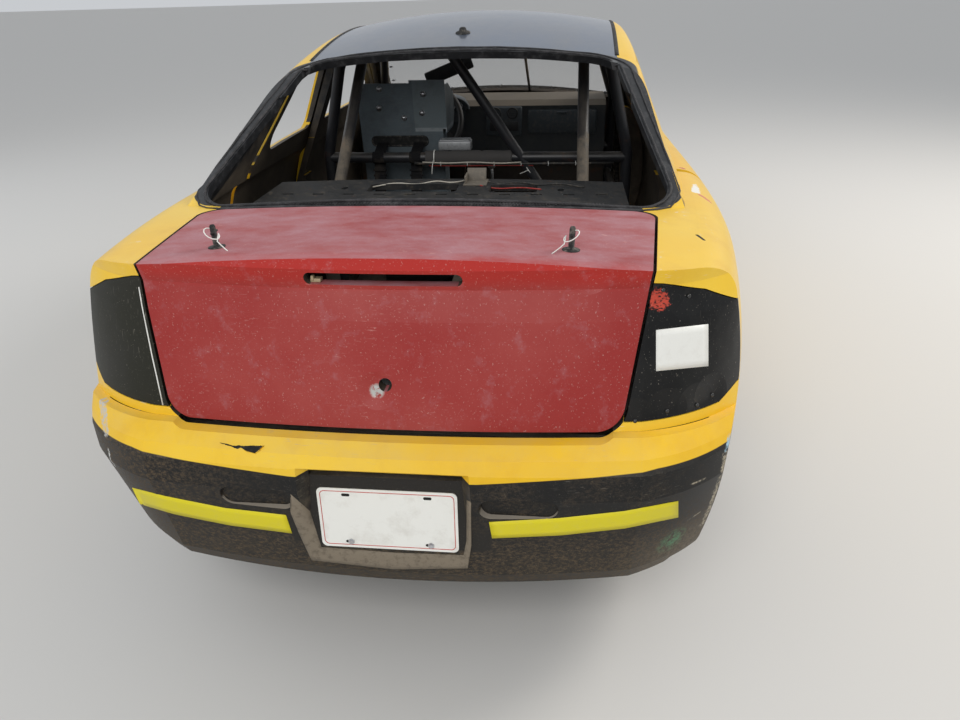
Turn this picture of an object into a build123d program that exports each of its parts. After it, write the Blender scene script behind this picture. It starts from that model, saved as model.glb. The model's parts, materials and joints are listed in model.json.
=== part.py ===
"""A compact four-door saloon prepared as a stock car: steel body shell, roll cage, race seat, four wheels.

Millimetres. X forward, Y to the car's left, Z up. Origin: on the ground below the centre of the body's box.
"""

import math
import os
from collections import namedtuple

from build123d import *

# Overall sizes
LENGTH = 4584.0
WIDTH = 1725.0
WHEELBASE = 2624.0
FRONT_OVERHANG = 925.0
TRACK = 1470.0
TAIL_X = -LENGTH / 2
NOSE_X = LENGTH / 2
FRONT_AXLE_X = NOSE_X - FRONT_OVERHANG
REAR_AXLE_X = FRONT_AXLE_X - WHEELBASE
HALF_WIDTH = WIDTH / 2
FAR = 3000.0

# Walls and gaps
SIDE_WALL = 50.0
TOP_WALL = 26.0
FLOOR_WALL = 30.0
PILLAR_WALL = 24.0
END_WALL = 28.0
PANEL_GAP = 6.0
LOOSE_GAP = 11.0
LAMP_GAP = 2.0

# Wheels and tyres
TYRE_RADIUS = 315.0
TYRE_WIDTH = 205.0
RIM_RADIUS = 190.0
FRONT_ARCH_RADIUS = 372.0
REAR_ARCH_RADIUS = 352.0

# Roll cage tubes
TUBE_RADIUS, DIAGONAL_RADIUS, HARNESS_BAR_RADIUS, BRACE_RADIUS = 22.0, 20.0, 21.0, 20.5
SCREEN_BAR_RADIUS, SCREEN_BAR_Y = 7.0, 160.0

# Lower body, one row a station: widest point, shoulder, crown at the centre line, sill, shoulder rounding
Hull = namedtuple("Hull", "x wide_y wide_z shoulder_y shoulder_z top_z sill_y sill_z rounding")
HULL = [
    Hull(-2420, 668, 600, 618, 985, 1032, 600, 262, 80),
    Hull(-2050, 747, 605, 698, 985, 1020, 686, 238, 90),
    Hull(-1620, 836, 610, 766, 980, 1003, 760, 215, 105),
    Hull(-1150, 857, 610, 796, 966, 996, 784, 205, 100),
    Hull(-300, HALF_WIDTH, 610, 792, 948, 985, 792, 200, 110),
    Hull(600, HALF_WIDTH, 605, 790, 925, 985, 790, 200, 110),
    Hull(1050, 858, 600, 784, 902, 968, 782, 202, 110),
    Hull(1500, 845, 590, 764, 858, 922, 765, 210, 105),
    Hull(1950, 806, 570, 715, 790, 842, 715, 222, 95),
    Hull(2420, 745, 540, 640, 668, 712, 640, 235, 80),
]

# Glasshouse, one row a station: foot inside the body, corner below the roof, crown at the centre line
House = namedtuple("House", "x foot_y corner_y corner_z top_z rounding")
HOUSE_FOOT_Z = 800.0
HOUSE = [
    House(-1800, 775, 560, 1105, 1145, 50),
    House(-850, 800, 596, 1268, 1320, 62),
    House(-250, 803, 588, 1342, 1402, 64),
    House(250, 802, 586, 1336, 1396, 64),
    House(1100, 792, 560, 1165, 1215, 50),
]

# Plan outline of an end of the car, one row a height: distance from the middle of the car along the centre
# line, at the start of the corner, half way round it and at its end
Plan = namedtuple("Plan", "z centre edge bend side")
EDGE_Y, BEND_Y, SIDE_Y, OUT_Y = 530.0, 672.0, 800.0, 1000.0
TAIL_UPPER = [
    Plan(100, 2238, 2210, 2142, 1992),
    Plan(560, 2238, 2210, 2142, 1992),
    Plan(678, 2208, 2180, 2112, 1962),
    Plan(900, 2150, 2118, 2050, 1906),
    Plan(962, 2129, 2096, 2028, 1886),
    Plan(1006, 2138, 2104, 2034, 1892),
    Plan(1023, 2116, 2082, 2012, 1872),
    Plan(1120, 2040, 2006, 1936, 1800),
    Plan(1500, 2040, 2006, 1936, 1800),
]
TAIL_LOWER = [
    Plan(225, 2170, 2108, 2010, 1860),
    Plan(285, 2238, 2184, 2086, 1920),
    Plan(325, 2256, 2206, 2110, 1942),
    Plan(560, LENGTH / 2, 2262, 2185, 2010),
    Plan(622, LENGTH / 2 - 2, 2260, 2183, 2008),
    Plan(650, 2276, 2244, 2168, 1996),
    Plan(712, 2188, 2166, 2108, 1950),
]
NOSE_UPPER = [
    Plan(100, 2225, 2178, 2082, 1895),
    Plan(560, 2225, 2178, 2082, 1895),
    Plan(700, 2196, 2150, 2056, 1872),
    Plan(780, 2150, 2104, 2012, 1832),
    Plan(1120, 1900, 1860, 1780, 1640),
    Plan(1500, 1900, 1860, 1780, 1640),
]
NOSE_LOWER = [
    Plan(205, 2190, 2135, 2030, 1850),
    Plan(250, 2255, 2200, 2095, 1905),
    Plan(330, 2268, 2214, 2110, 1918),
    Plan(560, LENGTH / 2, 2240, 2136, 1942),
    Plan(620, 2282, 2230, 2126, 1932),
    Plan(700, 2205, 2158, 2062, 1876),
]

# Rear window and windscreen: foot and head on the centre line, bulge radius across the car
REAR_GLASS_FOOT, REAR_GLASS_HEAD, REAR_GLASS_RADIUS = (-1655.0, 1002.0), (-852.0, 1322.0), 6000.0
SCREEN_FOOT, SCREEN_HEAD, SCREEN_RADIUS = (1000.0, 972.0), (205.0, 1392.0), 3600.0
REAR_OPENING = dict(low=36.0, high=834.0, low_y=650.0, high_y=512.0, corner=95.0)
SCREEN_OPENING = dict(low=30.0, high=845.0, low_y=640.0, high_y=530.0, corner=60.0)

# Boot lid: front edge, side edges on three heights, lower edge
LID_FRONT_X, LID_LOW_Z = -1655.0, 678.0
LID_SIDE_Y, LID_SIDE_PER_X, LID_SIDE_PER_Z = 590.0, 0.1213, 0.1206
LID_CORNER = 55.0

# Bonnet outline
BONNET_REAR_X, BONNET_FRONT_X = 1012.0, 2118.0
BONNET_REAR_Y, BONNET_FRONT_Y = 655.0, 585.0

# Doors in side view, x and z
SILL_TOP_Z = 288.0
DOOR_LOW_Z = SILL_TOP_Z + PANEL_GAP
DOOR_FRONT_X = 694.0
DOOR_SPLIT_X = -397.0
FRONT_DOOR = [(DOOR_FRONT_X, DOOR_LOW_Z), (DOOR_FRONT_X, 988), (112, 1296), (-372, 1300), (-387, 980),
    (-382, DOOR_LOW_Z)]
REAR_DOOR = [(-402, DOOR_LOW_Z), (-402, 1296), (-806, 1246), (-1088, 985), (-1110, 800), (-1010, 690),
    (-880, 520), (-852, DOOR_LOW_Z)]
FRONT_OPENING = [(704, SILL_TOP_Z), (704, 994), (110, 1304), (-397, 1308), (-397, SILL_TOP_Z)]
REAR_OPENING_SIDE = [(-397, SILL_TOP_Z), (-397, 1304), (-812, 1266), (-1126, 985), (-1124, 798),
    (-1020, 678), (-890, 512), (-862, SILL_TOP_Z)]
FRONT_WINDOW = [(628, 1003), (118, 1262), (-332, 1266), (-345, 1003)]
REAR_WINDOW = [(-444, 1003), (-444, 1256), (-786, 1212), (-1012, 1003)]
HINGE_AHEAD, HINGE_Y, HINGE_Z, HINGE_TILT = 60.0, 866.0, 560.0, 9.5

# Bumper seams in side view, x and z
REAR_SEAM = [(-2500, 694), (-1800, 660), (-1400, 592)]
BUMPER_LOW_Z = 252.0
FRONT_SEAM = [(2500, 668), (1950, 640), (1620, 590)]

# Side pieces are cut from the part of the body outside this plane
SIDE_FROM_Y = 250.0

# Edge between roof panel and roof rail, in plan
DITCH = [(-816, 528), (212, 554)]
RAIL_REAR_X = -800.0

# Floor and structure
FLOOR_Z, FLOOR_PLATE = 205.0, 28.0
SILL_INNER_Y = 640.0
BOOT_FLOOR_Z, KICK_X = 400.0, -960.0
BOOT_HALF_WIDTH = 545.0
TAIL_PANEL_Y = 550.0
RAIL_Y, RAIL_WIDTH, RAIL_LOW_Z, RAIL_HIGH_Z = 405.0, 70.0, 340.0, 430.0
FIREWALL_X, FIREWALL_PLATE = 1000.0, 24.0

# Inner side of the room that a steered front tyre needs
STEER_ROOM_Y = 430.0

# Front suspension: ball joint and strut top, stub axles
BALL_Y, BALL_Z, STRUT_TOP_Y, STRUT_TOP_Z = 690.0, 225.0, 575.0, 810.0
PIN_RADIUS, RUNNING_GAP = 12.0, 0.05
STUB_RADIUS = 20.0

# Parcel shelf: top face, front edge on the centre line, row of slots along its rear
SHELF_Z, SHELF_FRONT_X = 958.0, -1168.0
SHELF_SLOTS, SHELF_SLOT_PITCH = 11, 94.0

# Seat and controls
SEAT_Y, SEAT_WIDTH = 318.0, 350.0
WHEEL_HUB = (265.0, 330.0, 905.0)
COLUMN_RAKE = 24.0
WHEEL_RADIUS = 178.0

# Licence plate
PLATE_WIDTH, PLATE_HEIGHT, PLATE_THICK = 305.0, 152.0, 2.0
PLATE_X, PLATE_Z, PLATE_TILT = TAIL_X + 26.0, 484.0, 4.0

# Recess round the plate and the two lamp pods beside it, in the rear bumper
RECESS_LOW_Z, RECESS_HIGH_Z, RECESS_LOW_Y, RECESS_HIGH_Y, RECESS_TAPER = 366.0, 572.0, 162.0, 178.0, 35.0
POD_Y, POD_Z, POD_WIDTH, POD_HEIGHT, POD_FLOOR_X = 283.0, 537.0, 160.0, 48.0, TAIL_X + 26.0

# Pairs of intakes in the front bumper, beside a middle post: middle height, width of each, height
INTAKE_POST = 56.0
UPPER_INTAKE_Z, UPPER_INTAKE_WIDTH, UPPER_INTAKE_HEIGHT = 596.0, 250.0, 56.0
LOWER_INTAKE_Z, LOWER_INTAKE_WIDTH, LOWER_INTAKE_HEIGHT = 372.0, 370.0, 118.0

# Slot and lock hole in the boot lid's face
SLOT_Z, SLOT_LENGTH, SLOT_HEIGHT = 985.0, 326.0, 27.0
LOCK_Z, LOCK_RADIUS = 772.0, 14.0


def body_loft(rows, side=0.0, top=0.0, bottom=0.0):
    """The lower body between its stations, moved inwards by side, top and bottom walls."""
    with BuildPart() as hull:
        for row in rows:
            with BuildSketch(Plane.YZ.offset(row.x)) as section:
                wide_y, shoulder_y, sill_y = (y - side for y in (row.wide_y, row.shoulder_y, row.sill_y))
                shoulder_z, top_z, sill_z = row.shoulder_z - top, row.top_z - top, row.sill_z + bottom
                with BuildLine():
                    Line((-sill_y, sill_z), (sill_y, sill_z))
                    ThreePointArc((sill_y, sill_z), (wide_y, row.wide_z), (shoulder_y, shoulder_z))
                    ThreePointArc((shoulder_y, shoulder_z), (0, top_z), (-shoulder_y, shoulder_z))
                    ThreePointArc((-shoulder_y, shoulder_z), (-wide_y, row.wide_z), (-sill_y, sill_z))
                make_face()
                fillet(section.vertices().sort_by(Axis.Y)[-2:], row.rounding - side / 2)
                fillet(section.vertices().sort_by(Axis.Y)[:2], 30)
        loft()
    return hull.part


def house_loft(rows, wall=0.0):
    """The glasshouse above the belt, moved inwards by its wall."""
    with BuildPart() as house:
        for row in rows:
            with BuildSketch(Plane.YZ.offset(row.x)) as section:
                foot_y, corner_y = row.foot_y - wall, row.corner_y - wall
                corner_z, top_z = row.corner_z - wall * 0.8, row.top_z - wall
                with BuildLine():
                    Line((-foot_y, HOUSE_FOOT_Z), (foot_y, HOUSE_FOOT_Z))
                    Line((foot_y, HOUSE_FOOT_Z), (corner_y, corner_z))
                    ThreePointArc((corner_y, corner_z), (0, top_z), (-corner_y, corner_z))
                    Line((-corner_y, corner_z), (-foot_y, HOUSE_FOOT_Z))
                make_face()
                fillet(section.vertices().sort_by(Axis.Y)[-2:], row.rounding - wall / 2)
        loft()
    return house.part


def end_form(rows, way, wall=0.0):
    """Everything that an end of the car may fill, from its plan outlines: way is 1 at the nose, -1 at the tail."""
    with BuildPart() as form:
        for row in rows:
            centre, edge, bend, side = (way * (x - wall) for x in (row.centre, row.edge, row.bend, row.side))
            with BuildSketch(Plane.XY.offset(row.z)):
                with BuildLine():
                    ThreePointArc((edge, EDGE_Y), (centre, 0), (edge, -EDGE_Y))
                    ThreePointArc((edge, -EDGE_Y), (bend, -BEND_Y), (side, -SIDE_Y))
                    Polyline((side, -SIDE_Y), (side, -OUT_Y), (0, -OUT_Y), (0, OUT_Y), (side, OUT_Y),
                        (side, SIDE_Y))
                    ThreePointArc((side, SIDE_Y), (bend, BEND_Y), (edge, EDGE_Y))
                make_face()
        loft(ruled=True)
    return form.part


def glass_side(foot, head, radius, way, depth=0.0):
    """All space outside a glass surface, which slopes from foot to head and bulges across the car."""
    slope = Vector(head[0] - foot[0], 0, head[1] - foot[1]).normalized()
    outwards = Vector(way * slope.Z, 0, -way * slope.X)
    sag = OUT_Y**2 / (2 * radius)
    plane = Plane(origin=(foot[0], 0, foot[1]), x_dir=(0, 1, 0), z_dir=slope)
    up = 1 if plane.y_dir.dot(outwards) > 0 else -1
    with BuildPart() as space:
        with BuildSketch(plane):
            with BuildLine():
                ThreePointArc((-OUT_Y, -up * (sag + depth)), (0, -up * depth), (OUT_Y, -up * (sag + depth)))
                Polyline((OUT_Y, -up * (sag + depth)), (OUT_Y, up * FAR), (-OUT_Y, up * FAR),
                    (-OUT_Y, -up * (sag + depth)))
            make_face()
        extrude(amount=FAR / 2, both=True)
    return space.part


def glass_opening(foot, head, way, shape, grow=0.0):
    """A block through a window's opening: a trapezium on the glass with rounded corners."""
    slope = Vector(head[0] - foot[0], 0, head[1] - foot[1]).normalized()
    plane = Plane(origin=(foot[0], 0, foot[1]), x_dir=(0, 1, 0), z_dir=Vector(slope.Z, 0, -slope.X) * way)
    up = 1 if plane.y_dir.dot(slope) > 0 else -1
    low, high = up * (shape["low"] - grow), up * (shape["high"] + grow)
    low_y, high_y = shape["low_y"] + grow, shape["high_y"] + grow
    with BuildPart() as block:
        with BuildSketch(plane) as outline:
            Polygon((-low_y, low), (low_y, low), (high_y, high), (-high_y, high), align=None)
            fillet(outline.vertices(), shape["corner"])
        extrude(amount=220, both=True)
    return block.part


def side_prism(points, rounding=None, reach=(0.0, OUT_Y)):
    """A prism through the car's left side from an outline in side view, given as (x, z) points."""
    near, far = reach
    with BuildPart() as prism:
        with BuildSketch(Plane.XZ.offset(-near)) as outline:
            Polygon(*points, align=None)
            if rounding:
                fillet(outline.vertices(), rounding)
        extrude(amount=near - far)
    return prism.part


def lid_block(gap=0.0):
    """The space of the boot lid: flat sides that close in to the rear and below, rounded corners."""
    front, low = LID_FRONT_X + gap, LID_LOW_Z - gap

    def side_y(x, z):
        return LID_SIDE_Y + gap + LID_SIDE_PER_X * (x - LID_FRONT_X) + LID_SIDE_PER_Z * (z - 1000.0)

    with BuildPart() as block:
        for z in (low, 1150.0):
            with BuildSketch(Plane.XY.offset(z)) as outline:
                side = [(front, side_y(front, z)), (-2500.0, side_y(-2500.0, z))]
                Polygon(*side, *[(x, -y) for x, y in reversed(side)], align=None)
                fillet(outline.vertices().sort_by(Axis.X)[-2:], LID_CORNER)
        loft(ruled=True)
        lower_sides = block.edges().group_by(Axis.Z)[0].filter_by(lambda edge: abs(edge.center().Y) > 400)
        fillet(lower_sides.sort_by(Edge.length)[-2:], LID_CORNER)
    return block.part


def lamp_space(outline, start, depth):
    """The prism that a lamp cover is cut from, along X from one end of the car, and its hole."""
    made = []
    for gap in (0.0, LAMP_GAP):
        with BuildPart() as prism:
            with BuildSketch(Plane.YZ.offset(start)):
                Polygon(*outline, align=None)
                if gap:
                    offset(amount=gap, kind=Kind.INTERSECTION)
            extrude(amount=depth + math.copysign(gap, depth))
        made.append(prism.part)
    return made


def mirrored(part):
    """The same piece on the car's right side."""
    return mirror(part, about=Plane.XZ)


PIECES = {}


def keep(name, part):
    """Labels a finished piece and keeps it for export."""
    part.label = name
    PIECES[name] = part


# Forms that the panels are cut from
hull_out = body_loft(HULL)
hull_in = body_loft(HULL, SIDE_WALL, TOP_WALL, FLOOR_WALL)
house_out = house_loft(HOUSE)
house_in = house_loft(HOUSE, PILLAR_WALL)
behind_rear_glass = glass_side(REAR_GLASS_FOOT, REAR_GLASS_HEAD, REAR_GLASS_RADIUS, -1)
ahead_of_screen = glass_side(SCREEN_FOOT, SCREEN_HEAD, SCREEN_RADIUS, 1)
behind_rear_glass_in = glass_side(REAR_GLASS_FOOT, REAR_GLASS_HEAD, REAR_GLASS_RADIUS, -1, PILLAR_WALL)
ahead_of_screen_in = glass_side(SCREEN_FOOT, SCREEN_HEAD, SCREEN_RADIUS, 1, PILLAR_WALL)
rear_opening = glass_opening(REAR_GLASS_FOOT, REAR_GLASS_HEAD, -1, REAR_OPENING)
screen_opening = glass_opening(SCREEN_FOOT, SCREEN_HEAD, 1, SCREEN_OPENING)
cabin_out = house_out - behind_rear_glass - ahead_of_screen
cabin_in = house_in - behind_rear_glass_in - ahead_of_screen_in
tail_out, tail_in = end_form(TAIL_UPPER, -1), end_form(TAIL_UPPER, -1, END_WALL)
nose_out, nose_in = end_form(NOSE_UPPER, 1), end_form(NOSE_UPPER, 1, END_WALL)


def box(x, y, z):
    """A block between pairs of x, y and z values."""
    with BuildPart() as block:
        with Locations(((x[0] + x[1]) / 2, (y[0] + y[1]) / 2, (z[0] + z[1]) / 2)):
            Box(x[1] - x[0], y[1] - y[0], z[1] - z[0])
    return block.part


def plan_prism(points, low=0.0, high=1600.0):
    """A vertical prism from an outline in plan, given as (x, y) points."""
    with BuildPart() as prism:
        with BuildSketch(Plane.XY.offset(low)):
            Polygon(*points, align=None)
        extrude(amount=high - low)
    return prism.part


def cross_cylinder(x, z, radius, near, far):
    """A cylinder along Y between two distances from the centre plane, on the left side."""
    with BuildPart() as cylinder:
        with BuildSketch(Plane.XZ.offset(-near)):
            with Locations((x, z)):
                Circle(radius)
        extrude(amount=near - far)
    return cylinder.part


def tube(points, radius=TUBE_RADIUS, bend=60.0):
    """A round bar along straight runs with rounded bends."""
    start = Vector(*points[0])
    with BuildPart() as bar:
        with BuildLine() as run:
            if len(points) == 2:
                Line(*points)
            else:
                FilletPolyline(*points, radius=bend)
        with BuildSketch(Plane(origin=start, z_dir=Vector(*points[1]) - start)):
            Circle(radius)
        sweep(path=run.wires()[0])
    return bar.part


# The body as one hollow form, then its left half
front_half = (hull_out & nose_out) - (hull_in & nose_in)
rear_half = (hull_out & tail_out) - (hull_in & tail_in)
lower_shell = (front_half + rear_half) - cabin_in
upper_shell = cabin_out - cabin_in - hull_in
shell = lower_shell + upper_shell
left_side = box((-FAR, FAR), (SIDE_FROM_Y, OUT_Y), (0, 1600))
left_shell = shell & left_side

front_arch = cross_cylinder(FRONT_AXLE_X, TYRE_RADIUS, FRONT_ARCH_RADIUS, BOOT_HALF_WIDTH, OUT_Y)
rear_arch = cross_cylinder(REAR_AXLE_X, TYRE_RADIUS, REAR_ARCH_RADIUS, BOOT_HALF_WIDTH, OUT_Y)
front_opening, rear_opening_side = side_prism(FRONT_OPENING), side_prism(REAR_OPENING_SIDE)
lid_space = lid_block(PANEL_GAP + 1)

# Roof panel between the two ditches
ditch_rear, ditch_front = DITCH
ditch_slope = (ditch_front[1] - ditch_rear[1]) / (ditch_front[0] - ditch_rear[0])


def ditch_y(x):
    return ditch_rear[1] + ditch_slope * (x - ditch_rear[0])


roof_plan = [(-1000, ditch_y(-1000)), (500, ditch_y(500)), (500, -ditch_y(500)), (-1000, -ditch_y(-1000))]
roof_space = plan_prism(roof_plan, 1130)
keep("roof_panel", (shell & roof_space & box((-900, 420), (-700, 700),
    (1130, 1600))) - rear_opening - screen_opening)

# Roof rail and windscreen pillar
rail_space = box((RAIL_REAR_X, 1000), (300, 900), (965, 1600)) - roof_space
rail = (left_shell & rail_space) - front_opening - rear_opening_side - screen_opening
keep("roof_rail_left", rail.solids().sort_by(SortBy.VOLUME)[-1])

# Rear quarter with its pillar
seam_points = [(x, z) for x, z in REAR_SEAM]
below_rear_seam = side_prism(seam_points + [(-1400, 0), (-2500, 0)])
quarter_space = box((-2400, RAIL_REAR_X), (0, 900), (SILL_TOP_Z, 1600)) - roof_space
quarter = (left_shell &
    quarter_space) - rear_opening_side - rear_opening - lid_space - rear_arch - below_rear_seam
quarter = quarter - box((-1700, -1000), (0, 560), (800, 1200))
LAMP = [(440, 699), (700, 699), (742, 722), (820, 742), (820, 862), (722, 905), (650, 942), (560, 967),
    (440, 984)]
lamp_form, lamp_hole = lamp_space(LAMP, -2400, 415)
lamp_cover = (quarter & lamp_form).solids().sort_by(SortBy.VOLUME)[-1]
quarter = (quarter - lamp_hole).solids().sort_by(SortBy.VOLUME)[-1]
keep("quarter_left", quarter)
keep("rear_lamp_cover_left", lamp_cover)

# Strip between rear window and boot lid
tulip = (shell & box((-1700, -1000), (-560, 560), (800, 1200))) - rear_opening - lid_space
keep("tulip_panel", tulip.solids().sort_by(SortBy.VOLUME)[-1])

# Boot lid with the lamp slot and the lock hole through its face
lid = (shell & lid_block() & box((-2400, LID_FRONT_X), (-700, 700),
    (LID_LOW_Z, 1200))).solids().sort_by(SortBy.VOLUME)[-1]
with BuildPart() as lid_holes:
    with BuildSketch(Plane.YZ.offset(-2000)):
        with Locations((0, SLOT_Z)):
            SlotOverall(SLOT_LENGTH, SLOT_HEIGHT)
        with Locations((0, LOCK_Z)):
            Circle(LOCK_RADIUS)
    extrude(amount=-300)
keep("trunk_lid", (lid - lid_holes.part).solids().sort_by(SortBy.VOLUME)[-1])

# Front wing
bonnet_slope = (BONNET_FRONT_Y - BONNET_REAR_Y) / (BONNET_FRONT_X - BONNET_REAR_X)


def bonnet_y(x):
    return BONNET_REAR_Y + bonnet_slope * (x - BONNET_REAR_X)


def bonnet_plan(gap=0.0):
    rear, front = BONNET_REAR_X - gap, BONNET_FRONT_X + gap
    return [(rear, bonnet_y(rear) + gap), (front, bonnet_y(front) + gap), (front, -bonnet_y(front) - gap),
        (rear, -bonnet_y(rear) - gap)]


below_front_seam = side_prism([(x, z) for x, z in FRONT_SEAM] + [(1620, 0), (2500, 0)])
bonnet_space = plan_prism(bonnet_plan(PANEL_GAP), 500)
fender_space = box((DOOR_FRONT_X + 10, 2400), (590, 900), (SILL_TOP_Z, 1100)) - box((0, BONNET_REAR_X),
    (0, 900), (965, 1200))
FRONT_LAMP = [(398, 630), (640, 630), (728, 660), (742, 716), (700, 742), (560, 749), (425, 752)]
front_lamp_form, front_lamp_hole = lamp_space(FRONT_LAMP, 2400, -540)
front_lamp_cover = (left_shell & front_lamp_form) - bonnet_space - below_front_seam
keep("front_lamp_cover_left", front_lamp_cover.solids().sort_by(SortBy.VOLUME)[-1])
fender = (left_shell &
    fender_space) - front_opening - front_arch - below_front_seam - bonnet_space - screen_opening
fender = fender - front_lamp_hole
keep("fender_left", fender.solids().sort_by(SortBy.VOLUME)[-1])

# Bonnet and the panel ahead of it
hood = shell & plan_prism(bonnet_plan(), 765)
keep("hood", hood.solids().sort_by(SortBy.VOLUME)[-1])
nose = (shell & box((1800, 2400), (-590, 590), (560, 1100))) - bonnet_space
nose = nose - below_front_seam - mirrored(below_front_seam) - front_lamp_hole - mirrored(front_lamp_hole)
keep("front_panel", nose.solids().sort_by(SortBy.VOLUME)[-1])

# Bulkhead with the strip below the windscreen
cowl = (shell & box((860, BONNET_REAR_X - PANEL_GAP), (-590, 590), (880, 1100))) - screen_opening
wall = box((FIREWALL_X - FIREWALL_PLATE, FIREWALL_X), (-SILL_INNER_Y, SILL_INNER_Y),
    (FLOOR_Z, 1000)) & hull_in
keep("firewall", (cowl + wall - box((900, 1100), (-92, 92), (150, 342))).solids().sort_by(SortBy.VOLUME)[-1])

# Bumper covers
tail_low, tail_low_in = end_form(TAIL_LOWER, -1), end_form(TAIL_LOWER, -1, END_WALL)
nose_low, nose_low_in = end_form(NOSE_LOWER, 1), end_form(NOSE_LOWER, 1, END_WALL)
rear_bumper = ((hull_out & tail_low) - (hull_in & tail_low_in)) & box((-2400, -1400), (-900, 900),
    (BUMPER_LOW_Z, 720))
rear_bumper = rear_bumper & (below_rear_seam + mirrored(below_rear_seam)) - rear_arch - mirrored(rear_arch)
rear_bumper = rear_bumper - lid_block(PANEL_GAP + 1) - box((-2130, -1400), (-715, 715), (200, 300))
plate_plane = Plane(origin=(PLATE_X, 0, PLATE_Z), x_dir=(0, 1, 0),
    z_dir=(-1, 0, math.tan(math.radians(PLATE_TILT))))
backing = box((-2270, -2215), (-RECESS_HIGH_Y - 40, RECESS_HIGH_Y + 40), (RECESS_LOW_Z - 30, 590)) & tail_low
with BuildPart() as plate_recess:
    with BuildSketch(plate_plane):
        low, high = RECESS_LOW_Z - PLATE_Z, RECESS_HIGH_Z - PLATE_Z
        Polygon((-RECESS_LOW_Y, low), (RECESS_LOW_Y, low), (RECESS_HIGH_Y, high), (-RECESS_HIGH_Y, high),
            align=None)
    extrude(amount=60, taper=-RECESS_TAPER)
with BuildPart() as pods:
    with BuildSketch(Plane.YZ.offset(POD_FLOOR_X)):
        with Locations((POD_Y, POD_Z), (-POD_Y, POD_Z)):
            SlotOverall(POD_WIDTH, POD_HEIGHT)
    extrude(amount=-80, taper=-12)
rear_bumper = rear_bumper + backing - plate_recess.part - pods.part
keep("rear_bumper", rear_bumper.solids().sort_by(SortBy.VOLUME)[-1])
front_bumper = ((hull_out & nose_low) - (hull_in & nose_low_in)) & box((1620, 2400), (-900, 900), (215, 700))
steer_room = cross_cylinder(FRONT_AXLE_X, TYRE_RADIUS, FRONT_ARCH_RADIUS, STEER_ROOM_Y, OUT_Y)
front_bumper = front_bumper & (below_front_seam +
    mirrored(below_front_seam)) - steer_room - mirrored(steer_room)
with BuildPart() as intakes:
    with BuildSketch(Plane.YZ.offset(2100)):
        for side in (-1, 1):
            with Locations((side * (UPPER_INTAKE_WIDTH + INTAKE_POST) / 2, UPPER_INTAKE_Z)):
                RectangleRounded(UPPER_INTAKE_WIDTH, UPPER_INTAKE_HEIGHT, 20)
            with Locations((side * (LOWER_INTAKE_WIDTH + INTAKE_POST) / 2, LOWER_INTAKE_Z)):
                RectangleRounded(LOWER_INTAKE_WIDTH, LOWER_INTAKE_HEIGHT, 40)
    extrude(amount=300)
front_bumper = front_bumper - intakes.part
keep("front_bumper", front_bumper.solids().sort_by(SortBy.VOLUME)[-1])

# Doors
keep("door_front_left", (left_shell & side_prism(FRONT_DOOR)) - side_prism(FRONT_WINDOW, 40))
keep("door_rear_left", (left_shell & side_prism(REAR_DOOR)) - side_prism(REAR_WINDOW, 40))

# Sill with the hinge pillar and the centre pillar
hull_post, hull_post_in = body_loft(HULL, SIDE_WALL + PANEL_GAP, TOP_WALL, FLOOR_WALL), body_loft(HULL,
    SIDE_WALL + 40, 60, 60)
house_post_in = house_loft(HOUSE, PILLAR_WALL + 30)
sill = hull_out & box((REAR_AXLE_X + 345, FRONT_AXLE_X - 368), (SILL_INNER_Y, 900), (150, SILL_TOP_Z))
sill = sill - front_arch - rear_arch
hinge_pillar = hull_post & box((DOOR_FRONT_X + 12, DOOR_FRONT_X + 92), (SILL_INNER_Y + 40, 900),
    (SILL_TOP_Z - 10, 930))
post_out = (hull_post & box((-470, -330), (560, 900), (SILL_TOP_Z - 10, 940))) + (
    house_loft(HOUSE, PILLAR_WALL + PANEL_GAP) & box((-470, -330), (560, 900), (905, 1340)))
post = (post_out - (hull_post_in & box((-500, -300), (400, 900), (270, 905))) - house_post_in) & box(
    (-438, -358), (560, 900), (SILL_TOP_Z - 10, 1340))
frame = sill + hinge_pillar + post
keep("sill_left", frame.solids().sort_by(SortBy.VOLUME)[-1])

# Floor, tunnel, rear step, boot floor, wheel houses, shock towers, tail panel and rails
floor = box((-880, FIREWALL_X - FIREWALL_PLATE), (-SILL_INNER_Y, SILL_INNER_Y),
    (FLOOR_Z, FLOOR_Z + FLOOR_PLATE))
floor = floor + box((KICK_X, -880), (-BOOT_HALF_WIDTH, BOOT_HALF_WIDTH), (FLOOR_Z, FLOOR_Z + FLOOR_PLATE))
tunnel_out = box((KICK_X, FIREWALL_X - FIREWALL_PLATE), (-110, 110), (FLOOR_Z, 360))
tunnel_in = box((KICK_X - 30, FIREWALL_X + 10), (-92, 92), (FLOOR_Z - 10, 342))
boot_floor = box((-2150, KICK_X), (-BOOT_HALF_WIDTH, BOOT_HALF_WIDTH), (BOOT_FLOOR_Z, BOOT_FLOOR_Z + 20))
kick = box((KICK_X - 20, KICK_X), (-BOOT_HALF_WIDTH, BOOT_HALF_WIDTH), (FLOOR_Z, BOOT_FLOOR_Z + 20))
tail_panel = box((-2160, -2140), (-TAIL_PANEL_Y, TAIL_PANEL_Y), (330, 640))
well_out = cross_cylinder(REAR_AXLE_X, TYRE_RADIUS, REAR_ARCH_RADIUS + 22, BOOT_HALF_WIDTH - 12, 740)
well_in = cross_cylinder(REAR_AXLE_X, TYRE_RADIUS, REAR_ARCH_RADIUS + 10, BOOT_HALF_WIDTH, 800)
well = (well_out - well_in) & box((-2000, -600), (400, 900), (345, 800))
tower = box((REAR_AXLE_X - 70, REAR_AXLE_X + 70), (395, BOOT_HALF_WIDTH), (BOOT_FLOOR_Z, 700))
side_rail = box((-2150, KICK_X), (330, 400), (330, BOOT_FLOOR_Z))
floor_pan = floor + tunnel_out + kick - tunnel_in + boot_floor + tail_panel
for piece in (well, tower, side_rail):
    floor_pan = floor_pan + piece + mirrored(piece)
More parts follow.
